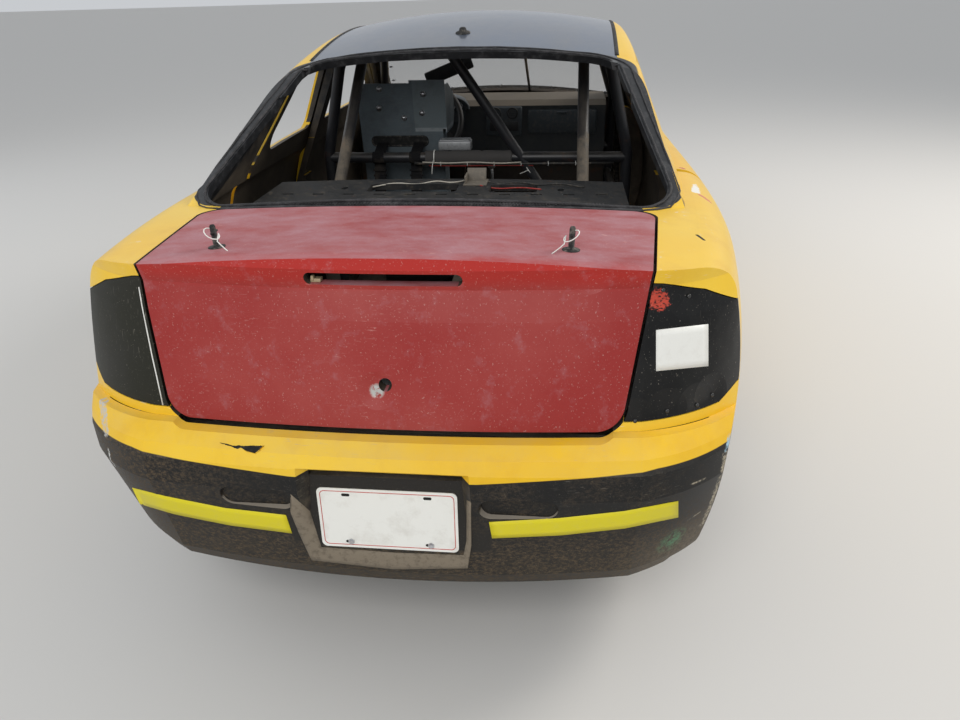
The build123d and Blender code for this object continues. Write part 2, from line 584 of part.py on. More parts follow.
keep("floor_pan", floor_pan.solids().sort_by(SortBy.VOLUME)[-1])

# Front rails, strut towers and cross-member
kingpin = Vector(0, STRUT_TOP_Y - BALL_Y, STRUT_TOP_Z - BALL_Z).normalized()
ball = Vector(FRONT_AXLE_X, BALL_Y, BALL_Z)
front_rail = box((FIREWALL_X, 2150), (RAIL_Y - RAIL_WIDTH / 2, RAIL_Y + RAIL_WIDTH / 2),
    (RAIL_LOW_Z, RAIL_HIGH_Z))
tower_wall = box((FRONT_AXLE_X - 75, FRONT_AXLE_X + 75), (RAIL_Y - 20, RAIL_Y + 20),
    (RAIL_LOW_Z, STRUT_TOP_Z))
tower_top = box((FRONT_AXLE_X - 75, FRONT_AXLE_X + 75), (RAIL_Y - 20, STRUT_TOP_Y + 75),
    (STRUT_TOP_Z - 12, STRUT_TOP_Z + 12))
with BuildPart() as strut_hole:
    with BuildSketch(Plane(origin=ball + kingpin * 500, x_dir=(1, 0, 0), z_dir=kingpin)):
        Circle(PIN_RADIUS + RUNNING_GAP)
    extrude(amount=200)
cross_bar = box((2090, 2150), (-RAIL_Y - 60, RAIL_Y + 60), (RAIL_LOW_Z, RAIL_HIGH_Z + 120))
radiator = box((2050, 2090), (-330, 330), (RAIL_LOW_Z, 720))
structure = cross_bar + radiator
for piece in (front_rail, tower_wall + (tower_top - strut_hole.part)):
    structure = structure + piece + mirrored(piece)
keep("front_structure", structure.solids().sort_by(SortBy.VOLUME)[-1])

# Lower arms on their cross-member
with BuildPart() as arms:
    with BuildSketch(Plane.XY.offset(205)):
        with BuildLine():
            Polyline((FRONT_AXLE_X - 240, 330), (FRONT_AXLE_X - 28, BALL_Y), (FRONT_AXLE_X + 28, BALL_Y),
                (FRONT_AXLE_X + 80, 330))
            Line((FRONT_AXLE_X + 80, 330), (FRONT_AXLE_X - 240, 330))
        make_face()
        with Locations((FRONT_AXLE_X, BALL_Y)):
            Circle(28)
    extrude(amount=14)
arm_pin = Solid.make_cylinder(PIN_RADIUS, 62, Plane(origin=ball - kingpin * 12, z_dir=kingpin))
arm = arms.part + arm_pin
member = box((FRONT_AXLE_X - 240, FRONT_AXLE_X + 90), (-335, 335), (195, 245))
member_post = box((FRONT_AXLE_X - 240, FRONT_AXLE_X + 60), (RAIL_Y - 90, RAIL_Y - RAIL_WIDTH / 2 + 10),
    (195, RAIL_LOW_Z))
subframe = member + arm + mirrored(arm) + member_post + mirrored(member_post)
keep("front_subframe", subframe.solids().sort_by(SortBy.VOLUME)[-1])

# Steered upright: knuckle with its stub axle, strut tube and spring
knuckle = box((FRONT_AXLE_X - 32, FRONT_AXLE_X + 32), (598, 672), (232, 420))
stub = cross_cylinder(FRONT_AXLE_X, TYRE_RADIUS, STUB_RADIUS, 660, 775)
strut_foot, strut_head = Vector(FRONT_AXLE_X, 600, 330), Vector(FRONT_AXLE_X, STRUT_TOP_Y, STRUT_TOP_Z - 20)
strut_tube = Solid.make_cylinder(25, (strut_head - strut_foot).length,
    Plane(origin=strut_foot, z_dir=strut_head - strut_foot))
strut_pin = Solid.make_cylinder(PIN_RADIUS, 60, Plane(origin=ball + kingpin * 560, z_dir=kingpin))
upright = (knuckle + stub + strut_tube + strut_pin) - Solid.make_cylinder(
    PIN_RADIUS + RUNNING_GAP, 70, Plane(origin=ball - kingpin * 12, z_dir=kingpin))
with BuildPart() as coil:
    with BuildSketch(Plane(origin=strut_head - kingpin * 118, z_dir=kingpin)):
        Circle(58)
    extrude(amount=112)
keep("strut_left", (upright + coil.part).solids().sort_by(SortBy.VOLUME)[-1])

# Rear beam axle with its trailing arms and stub axles
beam = cross_cylinder(REAR_AXLE_X, TYRE_RADIUS - 20, 32, 0, 600)
rear_stub = cross_cylinder(REAR_AXLE_X, TYRE_RADIUS, STUB_RADIUS, 590, 775)
plate = box((REAR_AXLE_X - 55, REAR_AXLE_X + 55), (585, 612), (TYRE_RADIUS - 70, TYRE_RADIUS + 55))
trailing = box((REAR_AXLE_X, KICK_X - 20), (500, 540), (TYRE_RADIUS - 50, TYRE_RADIUS - 5))
damper = tube([(REAR_AXLE_X, 470, TYRE_RADIUS - 20), (REAR_AXLE_X, 470, BOOT_FLOOR_Z)], 26)
axle = beam + rear_stub + plate + trailing + damper
keep("rear_axle", (axle + mirrored(axle)).solids().sort_by(SortBy.VOLUME)[-1])

# Tyre and rim of one wheel, made at the left rear
def wheel_profile(rows, x, y):
    with BuildPart() as form:
        with BuildSketch(Plane(origin=(x, y, TYRE_RADIUS), x_dir=(0, 1, 0), z_dir=(1, 0, 0))):
            with BuildLine():
                Polyline(*[(across, radius) for across, radius in rows], close=True)
            make_face()
        revolve(axis=Axis((x, y, TYRE_RADIUS), (0, 1, 0)))
    return form.part


HALF = TYRE_WIDTH / 2
TYRE_ROWS = [(-HALF + 8, RIM_RADIUS), (-HALF, 235), (-HALF + 2, 275), (-HALF + 18, 307),
    (-60, TYRE_RADIUS), (60, TYRE_RADIUS),
             (HALF - 18, 307), (HALF - 2, 275), (HALF, 235), (HALF - 8, RIM_RADIUS), (HALF - 18,
                 RIM_RADIUS), (HALF - 12, 235),
             (HALF - 16, 272), (HALF - 28, 296), (-HALF + 28, 296), (-HALF + 16, 272), (-HALF + 12,
                 235), (-HALF + 18, RIM_RADIUS)]
RIM_ROWS = [(-88, 200), (-94, 200), (-94, RIM_RADIUS), (-70, RIM_RADIUS), (-55, 172), (60, 172),
    (72, RIM_RADIUS), (94, RIM_RADIUS), (94, 200),
            (88, 200), (88, 184), (70, 184), (60, 166), (52, 166), (40, 60), (40,
                STUB_RADIUS + RUNNING_GAP), (-30, STUB_RADIUS + RUNNING_GAP),
            (-30, 62), (-12, 62), (-12, 66), (26, 66), (36, 166), (-55, 166), (-70, 184), (-88, 184)]
for corner, x in (("rear", REAR_AXLE_X), ("front", FRONT_AXLE_X)):
    tyre = wheel_profile(TYRE_ROWS, x, TRACK / 2)
    rim = wheel_profile(RIM_ROWS, x, TRACK / 2)
    with BuildPart() as holes:
        with BuildSketch(Plane.XZ.offset(-TRACK / 2 + 10)):
            with Locations((x, TYRE_RADIUS)):
                with PolarLocations(118, 8):
                    Circle(24)
        extrude(amount=-80)
    rim = rim - holes.part
    keep(f"tyre_{corner}_left", tyre)
    keep(f"rim_{corner}_left", rim.solids().sort_by(SortBy.VOLUME)[-1])

# Roll cage
hoop = tube([(-470, 612, 233), (-470, 612, 900), (-470, 515, 1292), (-470, -515, 1292), (-470, -612, 900),
    (-470, -612, 233)], bend=90)
diagonal = tube([(-472, 95, 1290), (-472, -590, 300)], DIAGONAL_RADIUS)
harness_bar = tube([(-470, 608, 880), (-470, -608, 880)], HARNESS_BAR_RADIUS)
brace = tube([(-472, 426, 1286), (REAR_AXLE_X + 30, 426, 692)], BRACE_RADIUS) & box((-1400, -400),
    (300, 600), (700, 1400))
keep("main_hoop",
    (hoop + diagonal + harness_bar + brace + mirrored(brace)).solids().sort_by(SortBy.VOLUME)[-1])
front_leg = tube([(-448, 505, 1288), (160, 495, 1292), (660, 618, 950), (740, 608, 233)], bend=90)
door_bars = tube([(-470, 612, 620), (700, 610, 560)]) + tube([(-470, 612, 400), (720, 608, 380)])
header = tube([(150, 492, 1290), (150, -492, 1290)])
dash_bar = tube([(690, 618, 700), (690, -618, 700)])
below_floor = box((0, 1000), (-700, 700), (0, FLOOR_Z + FLOOR_PLATE + 0.2))
screen_bar = tube([(158, SCREEN_BAR_Y, 1294), (985, SCREEN_BAR_Y, 957)],
    SCREEN_BAR_RADIUS) - PIECES["firewall"]
front_side = front_leg + door_bars + screen_bar
keep("front_cage", (front_side + mirrored(front_side) + header + dash_bar - hoop -
    below_floor).solids().sort_by(SortBy.VOLUME)[-1])

# Parcel shelf and the panel below it
with BuildPart() as shelf_form:
    with BuildSketch(Plane.XY.offset(SHELF_Z - 18)):
        with BuildLine():
            ThreePointArc((SHELF_FRONT_X - 45, -540), (SHELF_FRONT_X, 0), (SHELF_FRONT_X - 45, 540))
            Polyline((SHELF_FRONT_X - 45, 540), (-1620, 540), (-1620, -540), (SHELF_FRONT_X - 45, -540))
        make_face()
    extrude(amount=18)
with BuildPart() as shelf_holes:
    with BuildSketch(Plane.XY.offset(SHELF_Z - 60)):
        with Locations((-1284, 99)):
            RectangleRounded(92, 276, 14)
        with Locations((-1292, -210)):
            RectangleRounded(86, 144, 14)
        with Locations((-1290, 313), (-1308, -353)):
            SlotOverall(30, 18)
        for place in range(SHELF_SLOTS):
            with Locations((-1362, SHELF_SLOT_PITCH * (place - (SHELF_SLOTS - 1) / 2))):
                Rectangle(12, 34)
    extrude(amount=80)
brace_hole = tube([(-700, 426, 1073.6), (REAR_AXLE_X + 30, 426, 700)], 40)
shelf = shelf_form.part - shelf_holes.part - brace_hole - mirrored(brace_hole)
keep("package_shelf", shelf.solids().sort_by(SortBy.VOLUME)[-1])

# Seat
SEAT_SIDE = [(-330, 1160), (-395, 1160), (-300, 300), (190, 300), (190, 420), (150, 430), (-190, 395),
    (-260, 900)]
with BuildPart() as seat:
    with BuildSketch(Plane.XZ.offset(-SEAT_Y + SEAT_WIDTH / 2)):
        Polygon(*SEAT_SIDE, align=None)
    extrude(amount=-SEAT_WIDTH)
SEAT_BUCKET = [(-340, 1180), (-385, 1180), (-290, 312), (220, 312), (220, 500), (-150, 500), (-200, 1180)]
with BuildPart() as bucket:
    with BuildSketch(Plane.XZ.offset(-SEAT_Y + SEAT_WIDTH / 2 - 8)):
        Polygon(*SEAT_BUCKET, align=None)
    extrude(amount=-SEAT_WIDTH + 16)
SHOULDER_PLATE = [(-399, 1172), (-379, 978), (-372, 978), (-392, 1172)]
SEAT_WING = [(-396, 1150), (-375.5, 960), (-190, 960), (-145, 1010), (-155, 1095), (-300, 1150)]
seat_plates = side_prism(SHOULDER_PLATE, reach=(126.0, 272.0)) + side_prism(SEAT_WING, reach=(126.0, 131.0))
seat_feet = box((-200, -160), (SEAT_Y - 170, SEAT_Y + 170), (233, 305)) + box((80, 120),
    (SEAT_Y - 170, SEAT_Y + 170), (233, 305))
keep("seat", ((seat.part - bucket.part) + seat_feet + seat_plates).solids().sort_by(SortBy.VOLUME)[-1])

# Dashboard, steering column and wheel
DASH_SIDE = [(520, 700), (520, 940), (560, 965), (860, 965), (930, 930), (930, 880), (600, 700)]
with BuildPart() as dash:
    with BuildSketch(Plane.XZ.offset(-575)):
        Polygon(*DASH_SIDE, align=None)
    extrude(amount=1150)
dash_bar_hole = box((600, 760), (-600, 600), (650, 740))
column_way = Vector(math.cos(math.radians(COLUMN_RAKE)), 0, -math.sin(math.radians(COLUMN_RAKE)))
hub = Vector(*WHEEL_HUB)
column_plane = Plane(origin=hub + column_way * 60, z_dir=column_way)
column = Solid.make_cylinder(24, 700, column_plane) & box((200, FIREWALL_X - FIREWALL_PLATE), (0, 700),
    (0, 1200))
column_room = Solid.make_cylinder(24 + 0.2, 900, column_plane)
dash_part = dash.part - dash_bar_hole - column_room
keep("dashboard", dash_part.solids().sort_by(SortBy.VOLUME)[-1])
shaft_hole = Solid.make_cylinder(9 + RUNNING_GAP, 200, column_plane)
column = column - shaft_hole - tube([(690, 618, 700), (690, -618, 700)], TUBE_RADIUS + 1)
keep("steering_column", column.solids().sort_by(SortBy.VOLUME)[-1])
rim_plane = Plane(origin=hub, x_dir=(0, 1, 0), z_dir=-column_way)
wheel_ring = Solid.make_torus(WHEEL_RADIUS, 14, rim_plane)
boss = Solid.make_cylinder(32, 40, Plane(origin=hub - column_way * 0, z_dir=column_way))
shaft = Solid.make_cylinder(9, 180, Plane(origin=hub + column_way * 30, z_dir=column_way))
with BuildPart() as spokes:
    with BuildSketch(rim_plane.offset(-6)):
        with PolarLocations(0, 3, start_angle=-90):
            with Locations((WHEEL_RADIUS / 2, 0)):
                Rectangle(WHEEL_RADIUS, 34)
    extrude(amount=5)
keep("steering_wheel", (boss + shaft + spokes.part + wheel_ring).solids().sort_by(SortBy.VOLUME)[-1])

# Windscreen sheet
sheet = glass_side(SCREEN_FOOT, SCREEN_HEAD, SCREEN_RADIUS, 1, 10) - glass_side(SCREEN_FOOT, SCREEN_HEAD,
    SCREEN_RADIUS, 1, 4)
screen = sheet & glass_opening(SCREEN_FOOT, SCREEN_HEAD, 1, SCREEN_OPENING)
keep("windscreen", screen.solids().sort_by(SortBy.VOLUME)[-1])

# Engine, exhaust and fuel cell
keep("engine", box((1080, 1660), (-300, 300), (255, 790)))
exhaust = tube([(1064, 0, 280), (-900, 0, 280), (-1090, -120, 362), (-1420, -250, 362), (-2000, -260, 300),
    (-2080, -260, 250)], 26, 50)
keep("exhaust", exhaust)
keep("fuel_cell", box((-1980, -1520), (-280, 280), (BOOT_FLOOR_Z + 20, BOOT_FLOOR_Z + 240)))

# Licence plate
with BuildPart() as plate_form:
    with BuildSketch(plate_plane):
        RectangleRounded(PLATE_WIDTH, PLATE_HEIGHT, 12)
    extrude(amount=PLATE_THICK)
keep("licence_plate", plate_form.part)

# Right-hand copies
for name in list(PIECES):
    if name.endswith("_left"):
        keep(name.replace("_left", "_right"), mirrored(PIECES[name]))

# Export
os.makedirs("parts", exist_ok=True)
for name, piece in PIECES.items():
    export_step(piece, f"parts/{name}.step")
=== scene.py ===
"""Looks for the stock car: paint and its zones, dirt and wear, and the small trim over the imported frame.

Metres, in the frame's own axes: X forward, Y to the car's left, Z up. Names ending in _PX are pixels of the
960 x 720 photograph; what they place is cast from the camera onto the node that carries it.
"""

import json
import math

import bmesh
import bpy
from mathutils import Matrix, Vector, noise
from mathutils.bvhtree import BVHTree


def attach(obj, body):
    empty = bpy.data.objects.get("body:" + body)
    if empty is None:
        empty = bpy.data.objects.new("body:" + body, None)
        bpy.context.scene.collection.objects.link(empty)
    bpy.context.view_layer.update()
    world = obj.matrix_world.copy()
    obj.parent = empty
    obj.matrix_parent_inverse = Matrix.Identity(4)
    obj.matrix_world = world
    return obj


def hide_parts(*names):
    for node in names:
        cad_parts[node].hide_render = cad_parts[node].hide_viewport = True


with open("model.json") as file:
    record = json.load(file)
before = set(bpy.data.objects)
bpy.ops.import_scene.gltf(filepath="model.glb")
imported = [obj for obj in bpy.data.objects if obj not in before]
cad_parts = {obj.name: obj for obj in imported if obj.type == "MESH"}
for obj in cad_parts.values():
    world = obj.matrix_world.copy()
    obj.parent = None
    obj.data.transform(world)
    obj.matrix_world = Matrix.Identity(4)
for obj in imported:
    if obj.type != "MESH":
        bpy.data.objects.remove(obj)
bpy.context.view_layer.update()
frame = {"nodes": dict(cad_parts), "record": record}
NODES = frame["nodes"]
BODY_OF = {node: body for body, nodes in frame["record"]["behaviour"]["bodies"].items() for node in nodes}
SIDES = {"left": 1.0, "right": -1.0}
MM = 0.001
FULL_TURN = 2 * math.pi
NOISE_SEED = 7
UP, REARWARD = Vector((0.0, 0.0, 1.0)), Vector((-1.0, 0.0, 0.0))

# Camera, from the photograph
PHOTO_WIDTH, PHOTO_HEIGHT = 960, 720
CAMERA_PLACE = Vector((-3.460, -0.351, 1.502))
CAMERA_YAW, CAMERA_PITCH, CAMERA_ROLL = math.radians(6.76), math.radians(27.38), math.radians(-1.61)
FOCAL_PX = 721.0
SENSOR_MM = 36.0

# Light and floor
SKY_STRENGTH = 0.62
FLOOR_SIZE = 400.0
LIT_PLACE = Vector((-0.6, 0.0, 0.6))

# Colours, linear
YELLOW = (0.82, 0.49, 0.012)
YELLOW_FADED = (0.86, 0.59, 0.055)
YELLOW_DEEP = (0.62, 0.31, 0.012)
RED = (0.29, 0.020, 0.017)
RED_FADED = (0.34, 0.050, 0.043)
# Brighter red for a painted highlight along the boot lid's crease.
RED_CREASE_HIGHLIGHT = (0.38, 0.016, 0.010)
RED_SMEAR = (0.50, 0.06, 0.035)
GREEN_SMEAR = (0.10, 0.22, 0.12)
PINK_DUST = (0.40, 0.21, 0.235)
PINK_SPECK = (0.55, 0.33, 0.30)
PINK_SCRATCH = (0.58, 0.30, 0.27)
BLACK = (0.006, 0.006, 0.006)
BLACK_WORN = (0.025, 0.024, 0.022)
GLOSS_BLACK = (0.004, 0.004, 0.004)
BORDER_BLACK = (0.009, 0.010, 0.012)
PILLAR_BLACK = (0.011, 0.011, 0.012)
RECESS_BLACK = (0.016, 0.014, 0.012)
OLIVE_BLACK = (0.016, 0.016, 0.010)
DUST = (0.27, 0.225, 0.17)
DUST_PALE = (0.42, 0.38, 0.32)
DUST_GREY = (0.12, 0.12, 0.125)
SOIL_DARK = (0.095, 0.068, 0.042)
SOIL_LOW = (0.105, 0.082, 0.052)
SOIL_BROWN = (0.13, 0.105, 0.075)
SOIL_SILL = (0.17, 0.14, 0.10)
SOIL_CHAMFER = (0.19, 0.155, 0.105)
# Pale soil; on the bumper's right end it is mixed with a painted highlight.
PALE_SOIL_AND_SHEEN = (0.20, 0.165, 0.12)
GRIT = (0.26, 0.22, 0.16)
LIP_GREY = (0.24, 0.21, 0.17)
# Cream for rubbed paint, and for a painted highlight mixed with dust along the bumper's right edge.
CREAM_RUB_AND_SHEEN = (0.40, 0.35, 0.26)
INNER_BROWN = (0.050, 0.040, 0.030)
# The roof's colours: black lifted towards blue-grey, partly a painted sky sheen, and a blue tone of painted sky
# reflection laid over it.
ROOF_BLACK = (0.045, 0.055, 0.075)
ROOF_SKY_SHEEN = (0.070, 0.105, 0.175)
NEON = (0.70, 0.60, 0.003)
WHITE = (0.78, 0.78, 0.74)
TORN_GREY = (0.50, 0.50, 0.48)
BARE_METAL = (0.55, 0.56, 0.58)
SEAT_METAL = (0.13, 0.16, 0.18)
RUST = (0.19, 0.065, 0.022)
# Pale blue: a painted sky reflection at the top of the bumper's right edge.
PALE_BLUE_SHEEN = (0.35, 0.52, 0.62)

# Rear window, as in the part: foot and slope of its glass plane, and where the black border round it ends
GLASS_FOOT_X, GLASS_FOOT_Z = -1.655, 1.002
GLASS_RISE, GLASS_RUN = 0.320, 0.803
BORDER_Y, BORDER_TAPER, BORDER_LOW, BORDER_HIGH, BORDER_CORNER = 0.690, 0.125, -0.004, 0.872, 0.090

# Wheels
AXLE_X = {"front": 1.367, "rear": -1.257}
AXLE_Z, WHEEL_Y, WHEEL_HOUSE_RADIUS = 0.315, 0.735, 0.364
TREAD_PITCHES, TREAD_SLANT, NUT_CIRCLE, VALVE_CIRCLE = 64, 0.45, 0.057, 0.158


def make_camera():
    """The camera where the photographer stood."""
    forward = Vector((math.cos(CAMERA_YAW) * math.cos(CAMERA_PITCH),
                      math.sin(CAMERA_YAW) * math.cos(CAMERA_PITCH), -math.sin(CAMERA_PITCH)))
    level_right = forward.cross(UP).normalized()
    level_up = level_right.cross(forward)
    right = level_right * math.cos(CAMERA_ROLL) + level_up * math.sin(CAMERA_ROLL)
    camera = bpy.data.objects.new("camera", bpy.data.cameras.new("camera"))
    bpy.context.scene.collection.objects.link(camera)
    camera.data.sensor_width = SENSOR_MM
    camera.data.lens = FOCAL_PX / PHOTO_WIDTH * SENSOR_MM
    camera.data.clip_end = 100.0
    axes = Matrix((right, right.cross(forward), -forward)).transposed().to_4x4()
    camera.matrix_world = Matrix.Translation(CAMERA_PLACE) @ axes
    bpy.context.scene.camera = camera
    bpy.context.view_layer.update()
    return camera


CAMERA = make_camera()
TREES = {}
FINISHES = {}


# Casting onto the frame

def tree_of(node):
    """A search tree over one node's mesh."""
    if node not in TREES:
        mesh = NODES[node].data
        TREES[node] = BVHTree.FromPolygons([v.co for v in mesh.vertices], [p.vertices for p in mesh.polygons])
    return TREES[node]


def struck(nodes, start, way):
    """Where a ray first meets one of some nodes: place and normal against the ray, or None."""
    way = Vector(way).normalized()
    best = None
    for node in [nodes] if isinstance(nodes, str) else nodes:
        place, normal, _, distance = tree_of(node).ray_cast(Vector(start), way)
        if place is not None and (best is None or distance < best[2]):
            best = (place, normal if normal.dot(way) < 0 else -normal, distance)
    return best and best[:2]


def seen(node, pixel):
    """Where the photograph's pixel falls on a node: place and outward normal, or None."""
    sight = Vector(((pixel[0] - PHOTO_WIDTH / 2) / FOCAL_PX, (PHOTO_HEIGHT / 2 - pixel[1]) / FOCAL_PX, -1.0))
    return struck(node, CAMERA_PLACE, CAMERA.matrix_world.to_3x3() @ sight)


def places(node, pixels):
    """The places where pixels fall on a node, without those that miss it."""
    return [hit[0] for hit in (seen(node, pixel) for pixel in pixels) if hit]


# Finishes

class Field:
    """A number that varies over a finish; arithmetic with it adds nodes to the finish."""

    def __init__(self, finish, socket):
        self.finish, self.socket = finish, socket

    def __add__(self, other):
        return self.finish.math("ADD", self, other)

    def __sub__(self, other):
        return self.finish.math("SUBTRACT", self, other)

    def __rsub__(self, other):
        return self.finish.math("SUBTRACT", other, self)

    def __mul__(self, other):
        return self.finish.math("MULTIPLY", self, other)

    def __or__(self, other):
        """The larger of the two."""
        return self.finish.math("MAXIMUM", self, other)

    def __abs__(self):
        return self.finish.math("ABSOLUTE", self)

    def band(self, start, end):
        """0 at start, 1 at end, whichever is the larger."""
        node = self.finish.node("ShaderNodeMapRange", Value=self, From_Min=start, From_Max=end)
        return Field(self.finish, node.outputs[0])


class Finish:
    """A procedural material: a base, layers painted over it through masks, then bump."""

    def __init__(self, name, colour, rough, metal=0.0, coat=0.0, shine=0.5):
        self.material = FINISHES[name] = bpy.data.materials.new(name)
        self.material.use_nodes = True
        self.nodes, self.links = self.material.node_tree.nodes, self.material.node_tree.links
        self.shader = self.nodes["Principled BSDF"]
        self.fill(self.shader, {"Coat Weight": coat, "Coat Roughness": 0.12, "Specular IOR Level": shine})
        place = self.nodes.new("ShaderNodeTexCoord")
        self.place = place.outputs["Object"]
        self.x, self.y, self.z = self.parts(self.place)
        self.face_x, self.face_y, self.up = self.parts(place.outputs["Normal"])
        self.colour, self.rough, self.metal = colour, rough, metal
        self.bumps = None

    def put(self, socket, value):
        """Gives a socket a value or a link."""
        if isinstance(value, Field):
            value = value.socket
        if isinstance(value, bpy.types.NodeSocket):
            self.links.new(value, socket)
        elif socket.type == "RGBA":
            socket.default_value = (*value, 1.0)
        else:
            socket.default_value = value

    def fill(self, node, values):
        """Gives a node's inputs, by name or number, their values."""
        for key, value in values.items():
            self.put(node.inputs[key], value)
        return node

    def node(self, kind, settings=(), **inputs):
        """A new node; an input's name has _ for its spaces."""
        node = self.nodes.new(kind)
        for key, value in dict(settings).items():
            setattr(node, key, value)
        return self.fill(node, {key.replace("_", " "): value for key, value in inputs.items()})

    def parts(self, vector):
        return [Field(self, part) for part in self.node("ShaderNodeSeparateXYZ", Vector=vector).outputs[:3]]

    def math(self, operation, *values):
        node = self.node("ShaderNodeMath", {"operation": operation})
        return Field(self, self.fill(node, dict(enumerate(values))).outputs[0])

    def vector(self, operation, a, b):
        """A vector node's result, which is a number for a distance or a product."""
        node = self.node("ShaderNodeVectorMath", {"operation": operation})
        self.fill(node, {0: a, "Scale" if operation == "SCALE" else 1: b})
        if operation in ("DISTANCE", "DOT_PRODUCT"):
            return Field(self, node.outputs["Value"])
        return node.outputs["Vector"]

    def noise(self, scale, detail=5.0, rough=0.6, stretch=(1, 1, 1), seed=0.0):
        """Cloudy noise about 0.5."""
        place = self.node("ShaderNodeMapping", Vector=self.place, Scale=stretch,
                          Location=(seed, 0.7 * seed, 1.3 * seed)).outputs[0]
        node = self.node("ShaderNodeTexNoise", Vector=place, Scale=scale, Detail=detail, Roughness=rough)
        return Field(self, node.outputs[0])

    def cells(self, scale):
        """Distance to the nearest of many scattered points."""
        return self.node("ShaderNodeTexVoronoi", Vector=self.place, Scale=scale).outputs["Distance"]

    def spot(self, centre, radius, soft):
        """1 within a radius of a point, 0 past the soft edge."""
        return self.vector("DISTANCE", self.place, centre).band(radius + soft, radius)

    def track(self, points, width, soft, ragged=0.0):
        """1 along a row of points, 0 past its half width and soft edge; ragged wanders the edge."""
        mask = 0.0
        for start, end in zip(points, points[1:]):
            run = end - start
            offset = self.vector("SUBTRACT", self.place, start)
            share = self.vector("DOT_PRODUCT", offset, run / run.length_squared)
            held = self.math("MINIMUM", share | 0.0, 1.0)
            away = self.vector("DISTANCE", offset, self.vector("SCALE", run, held))
            if ragged:
                away = away + (self.noise(90.0, 5.0, 0.7) - 0.5) * ragged
            mask = away.band(width / 2 + soft, width / 2) | mask
        return mask

    def layer(self, mask, colour=None, rough=None, metal=None):
        """Paints over what is there, where the mask is 1."""
        if colour is not None:
            mix = self.node("ShaderNodeMix", {"data_type": "RGBA"})
            self.colour = self.fill(mix, {0: mask, 6: self.colour, 7: colour}).outputs[2]
        self.rough = self.blend(mask, self.rough, rough)
        self.metal = self.blend(mask, self.metal, metal)
        return self

    def blend(self, mask, under, over):
        if over is None:
            return under
        mix = self.node("ShaderNodeMix", {"data_type": "FLOAT"})
        return self.fill(mix, {0: mask, 2: under, 3: over}).outputs[0]

    def dust(self, amount, colour=DUST_PALE, seed=3.0):
        """Dust that settles on what faces up, in drifts and specks."""
        drift = self.noise(5.0, 8.0, 0.7, seed=seed).band(0.35, 0.75)
        self.layer(drift * self.up.band(0.2, 0.95) * amount, colour, 0.85)
        self.layer(self.noise(420.0, 2.0, 0.5, seed=seed).band(0.66, 0.72) * (0.5 * amount), colour, 0.9)

    def scuff(self, colour, amount, stretch, seed):
        """Thin scratches, in clusters."""
        lines = self.noise(38.0, 3.0, 0.55, stretch, seed).band(0.64, 0.70)
        where = self.noise(3.0, 3.0, 0.6, seed=seed + 5).band(0.5, 0.68)
        self.layer(lines * where * amount, colour, 0.6)

    def bump(self, height, depth, strength=1.0):
        """Adds relief, depth in metres."""
        node = self.node("ShaderNodeBump", Height=height, Distance=depth, Strength=strength)
        if self.bumps is not None:
            self.put(node.inputs["Normal"], self.bumps)
        self.bumps = node.outputs[0]
        return self

    def done(self):
        self.fill(self.shader, {"Base Color": self.colour, "Roughness": self.rough, "Metallic": self.metal})
        if self.bumps is not None:
            self.put(self.shader.inputs["Normal"], self.bumps)
        return self.material


def facing_out(finish):
    """How much a face looks away from the car's middle plane."""
    return finish.face_y * finish.math("SIGN", finish.y)


def outside_in(finish):
    """Bare, browned metal on the shell's inner faces, which face the car's middle or down; black pillars."""
    x, z, up, aside = finish.x, finish.z, finish.up, abs(finish.y)
    lean = x.band(-0.75, -1.8) * 0.30 + x.band(0.25, 1.1) * 0.235 + 0.40
    rise = z - 0.61
    skin_y = 0.8625 - x.band(-1.0, -1.62) * 0.027 - rise * rise * (x.band(-1.15, 0.6) * 0.24 + 0.48)
    inside_skin, inside_pillar = skin_y - aside, 0.80 - (z - 0.80) * lean - aside
    beside = x.band(-1.70, -1.68) * x.band(0.98, 0.96) * up.band(0.55, 0.50)
    above = z.band(0.955, 0.960)
    jamb = beside * (1.0 - above) * inside_skin.band(0.026, 0.028) * inside_pillar.band(0.026, 0.028)
    post = beside * above * inside_pillar.band(0.007, 0.009)
    ledge = z.band(0.990, 0.995) * z.band(1.014, 1.010) * x.band(-1.09, -1.08) * x.band(0.70, 0.69)
    ledge = ledge * inside_pillar.band(0.014, 0.016)
    inner = facing_out(finish).band(-0.15, -0.3) | up.band(-0.35, -0.5) | jamb | post | ledge
    finish.layer(inner, INNER_BROWN, 0.7)
    finish.layer(inner * z.band(1.0, 1.04), PILLAR_BLACK, 0.55)
    finish.layer(inner * finish.noise(9.0, 7.0, 0.7, seed=11).band(0.42, 0.68) * 0.6, SOIL_BROWN, 0.9)


def window_border(finish):
    """The black band painted round the rear window, on what faces along the glass or into the opening."""
    slope = math.hypot(GLASS_RISE, GLASS_RUN)
    up_slope = (finish.x - GLASS_FOOT_X) * (GLASS_RUN / slope) + (finish.z -
        GLASS_FOOT_Z) * (GLASS_RISE / slope)
    aside = abs(finish.y)
    past_side = aside - (BORDER_Y - up_slope * BORDER_TAPER) + BORDER_CORNER | 0.0
    past_low = aside * aside * 0.12 + (BORDER_LOW + BORDER_CORNER) - up_slope
    past_end = past_low | up_slope - (BORDER_HIGH - BORDER_CORNER) | 0.0
    corner = finish.math("SQRT", past_side * past_side + past_end * past_end)
    ragged = corner + (finish.noise(30.0, 3.0) - 0.5) * 0.006
    border = ragged.band(BORDER_CORNER + 0.0005, BORDER_CORNER - 0.0005) * facing_out(finish).band(0.60, 0.50)
    finish.layer(border, BORDER_BLACK, 0.45)
    finish.layer(border * finish.noise(24.0, 8.0, 0.8, seed=13).band(0.50, 0.70) * 0.5, DUST_GREY, 0.8)


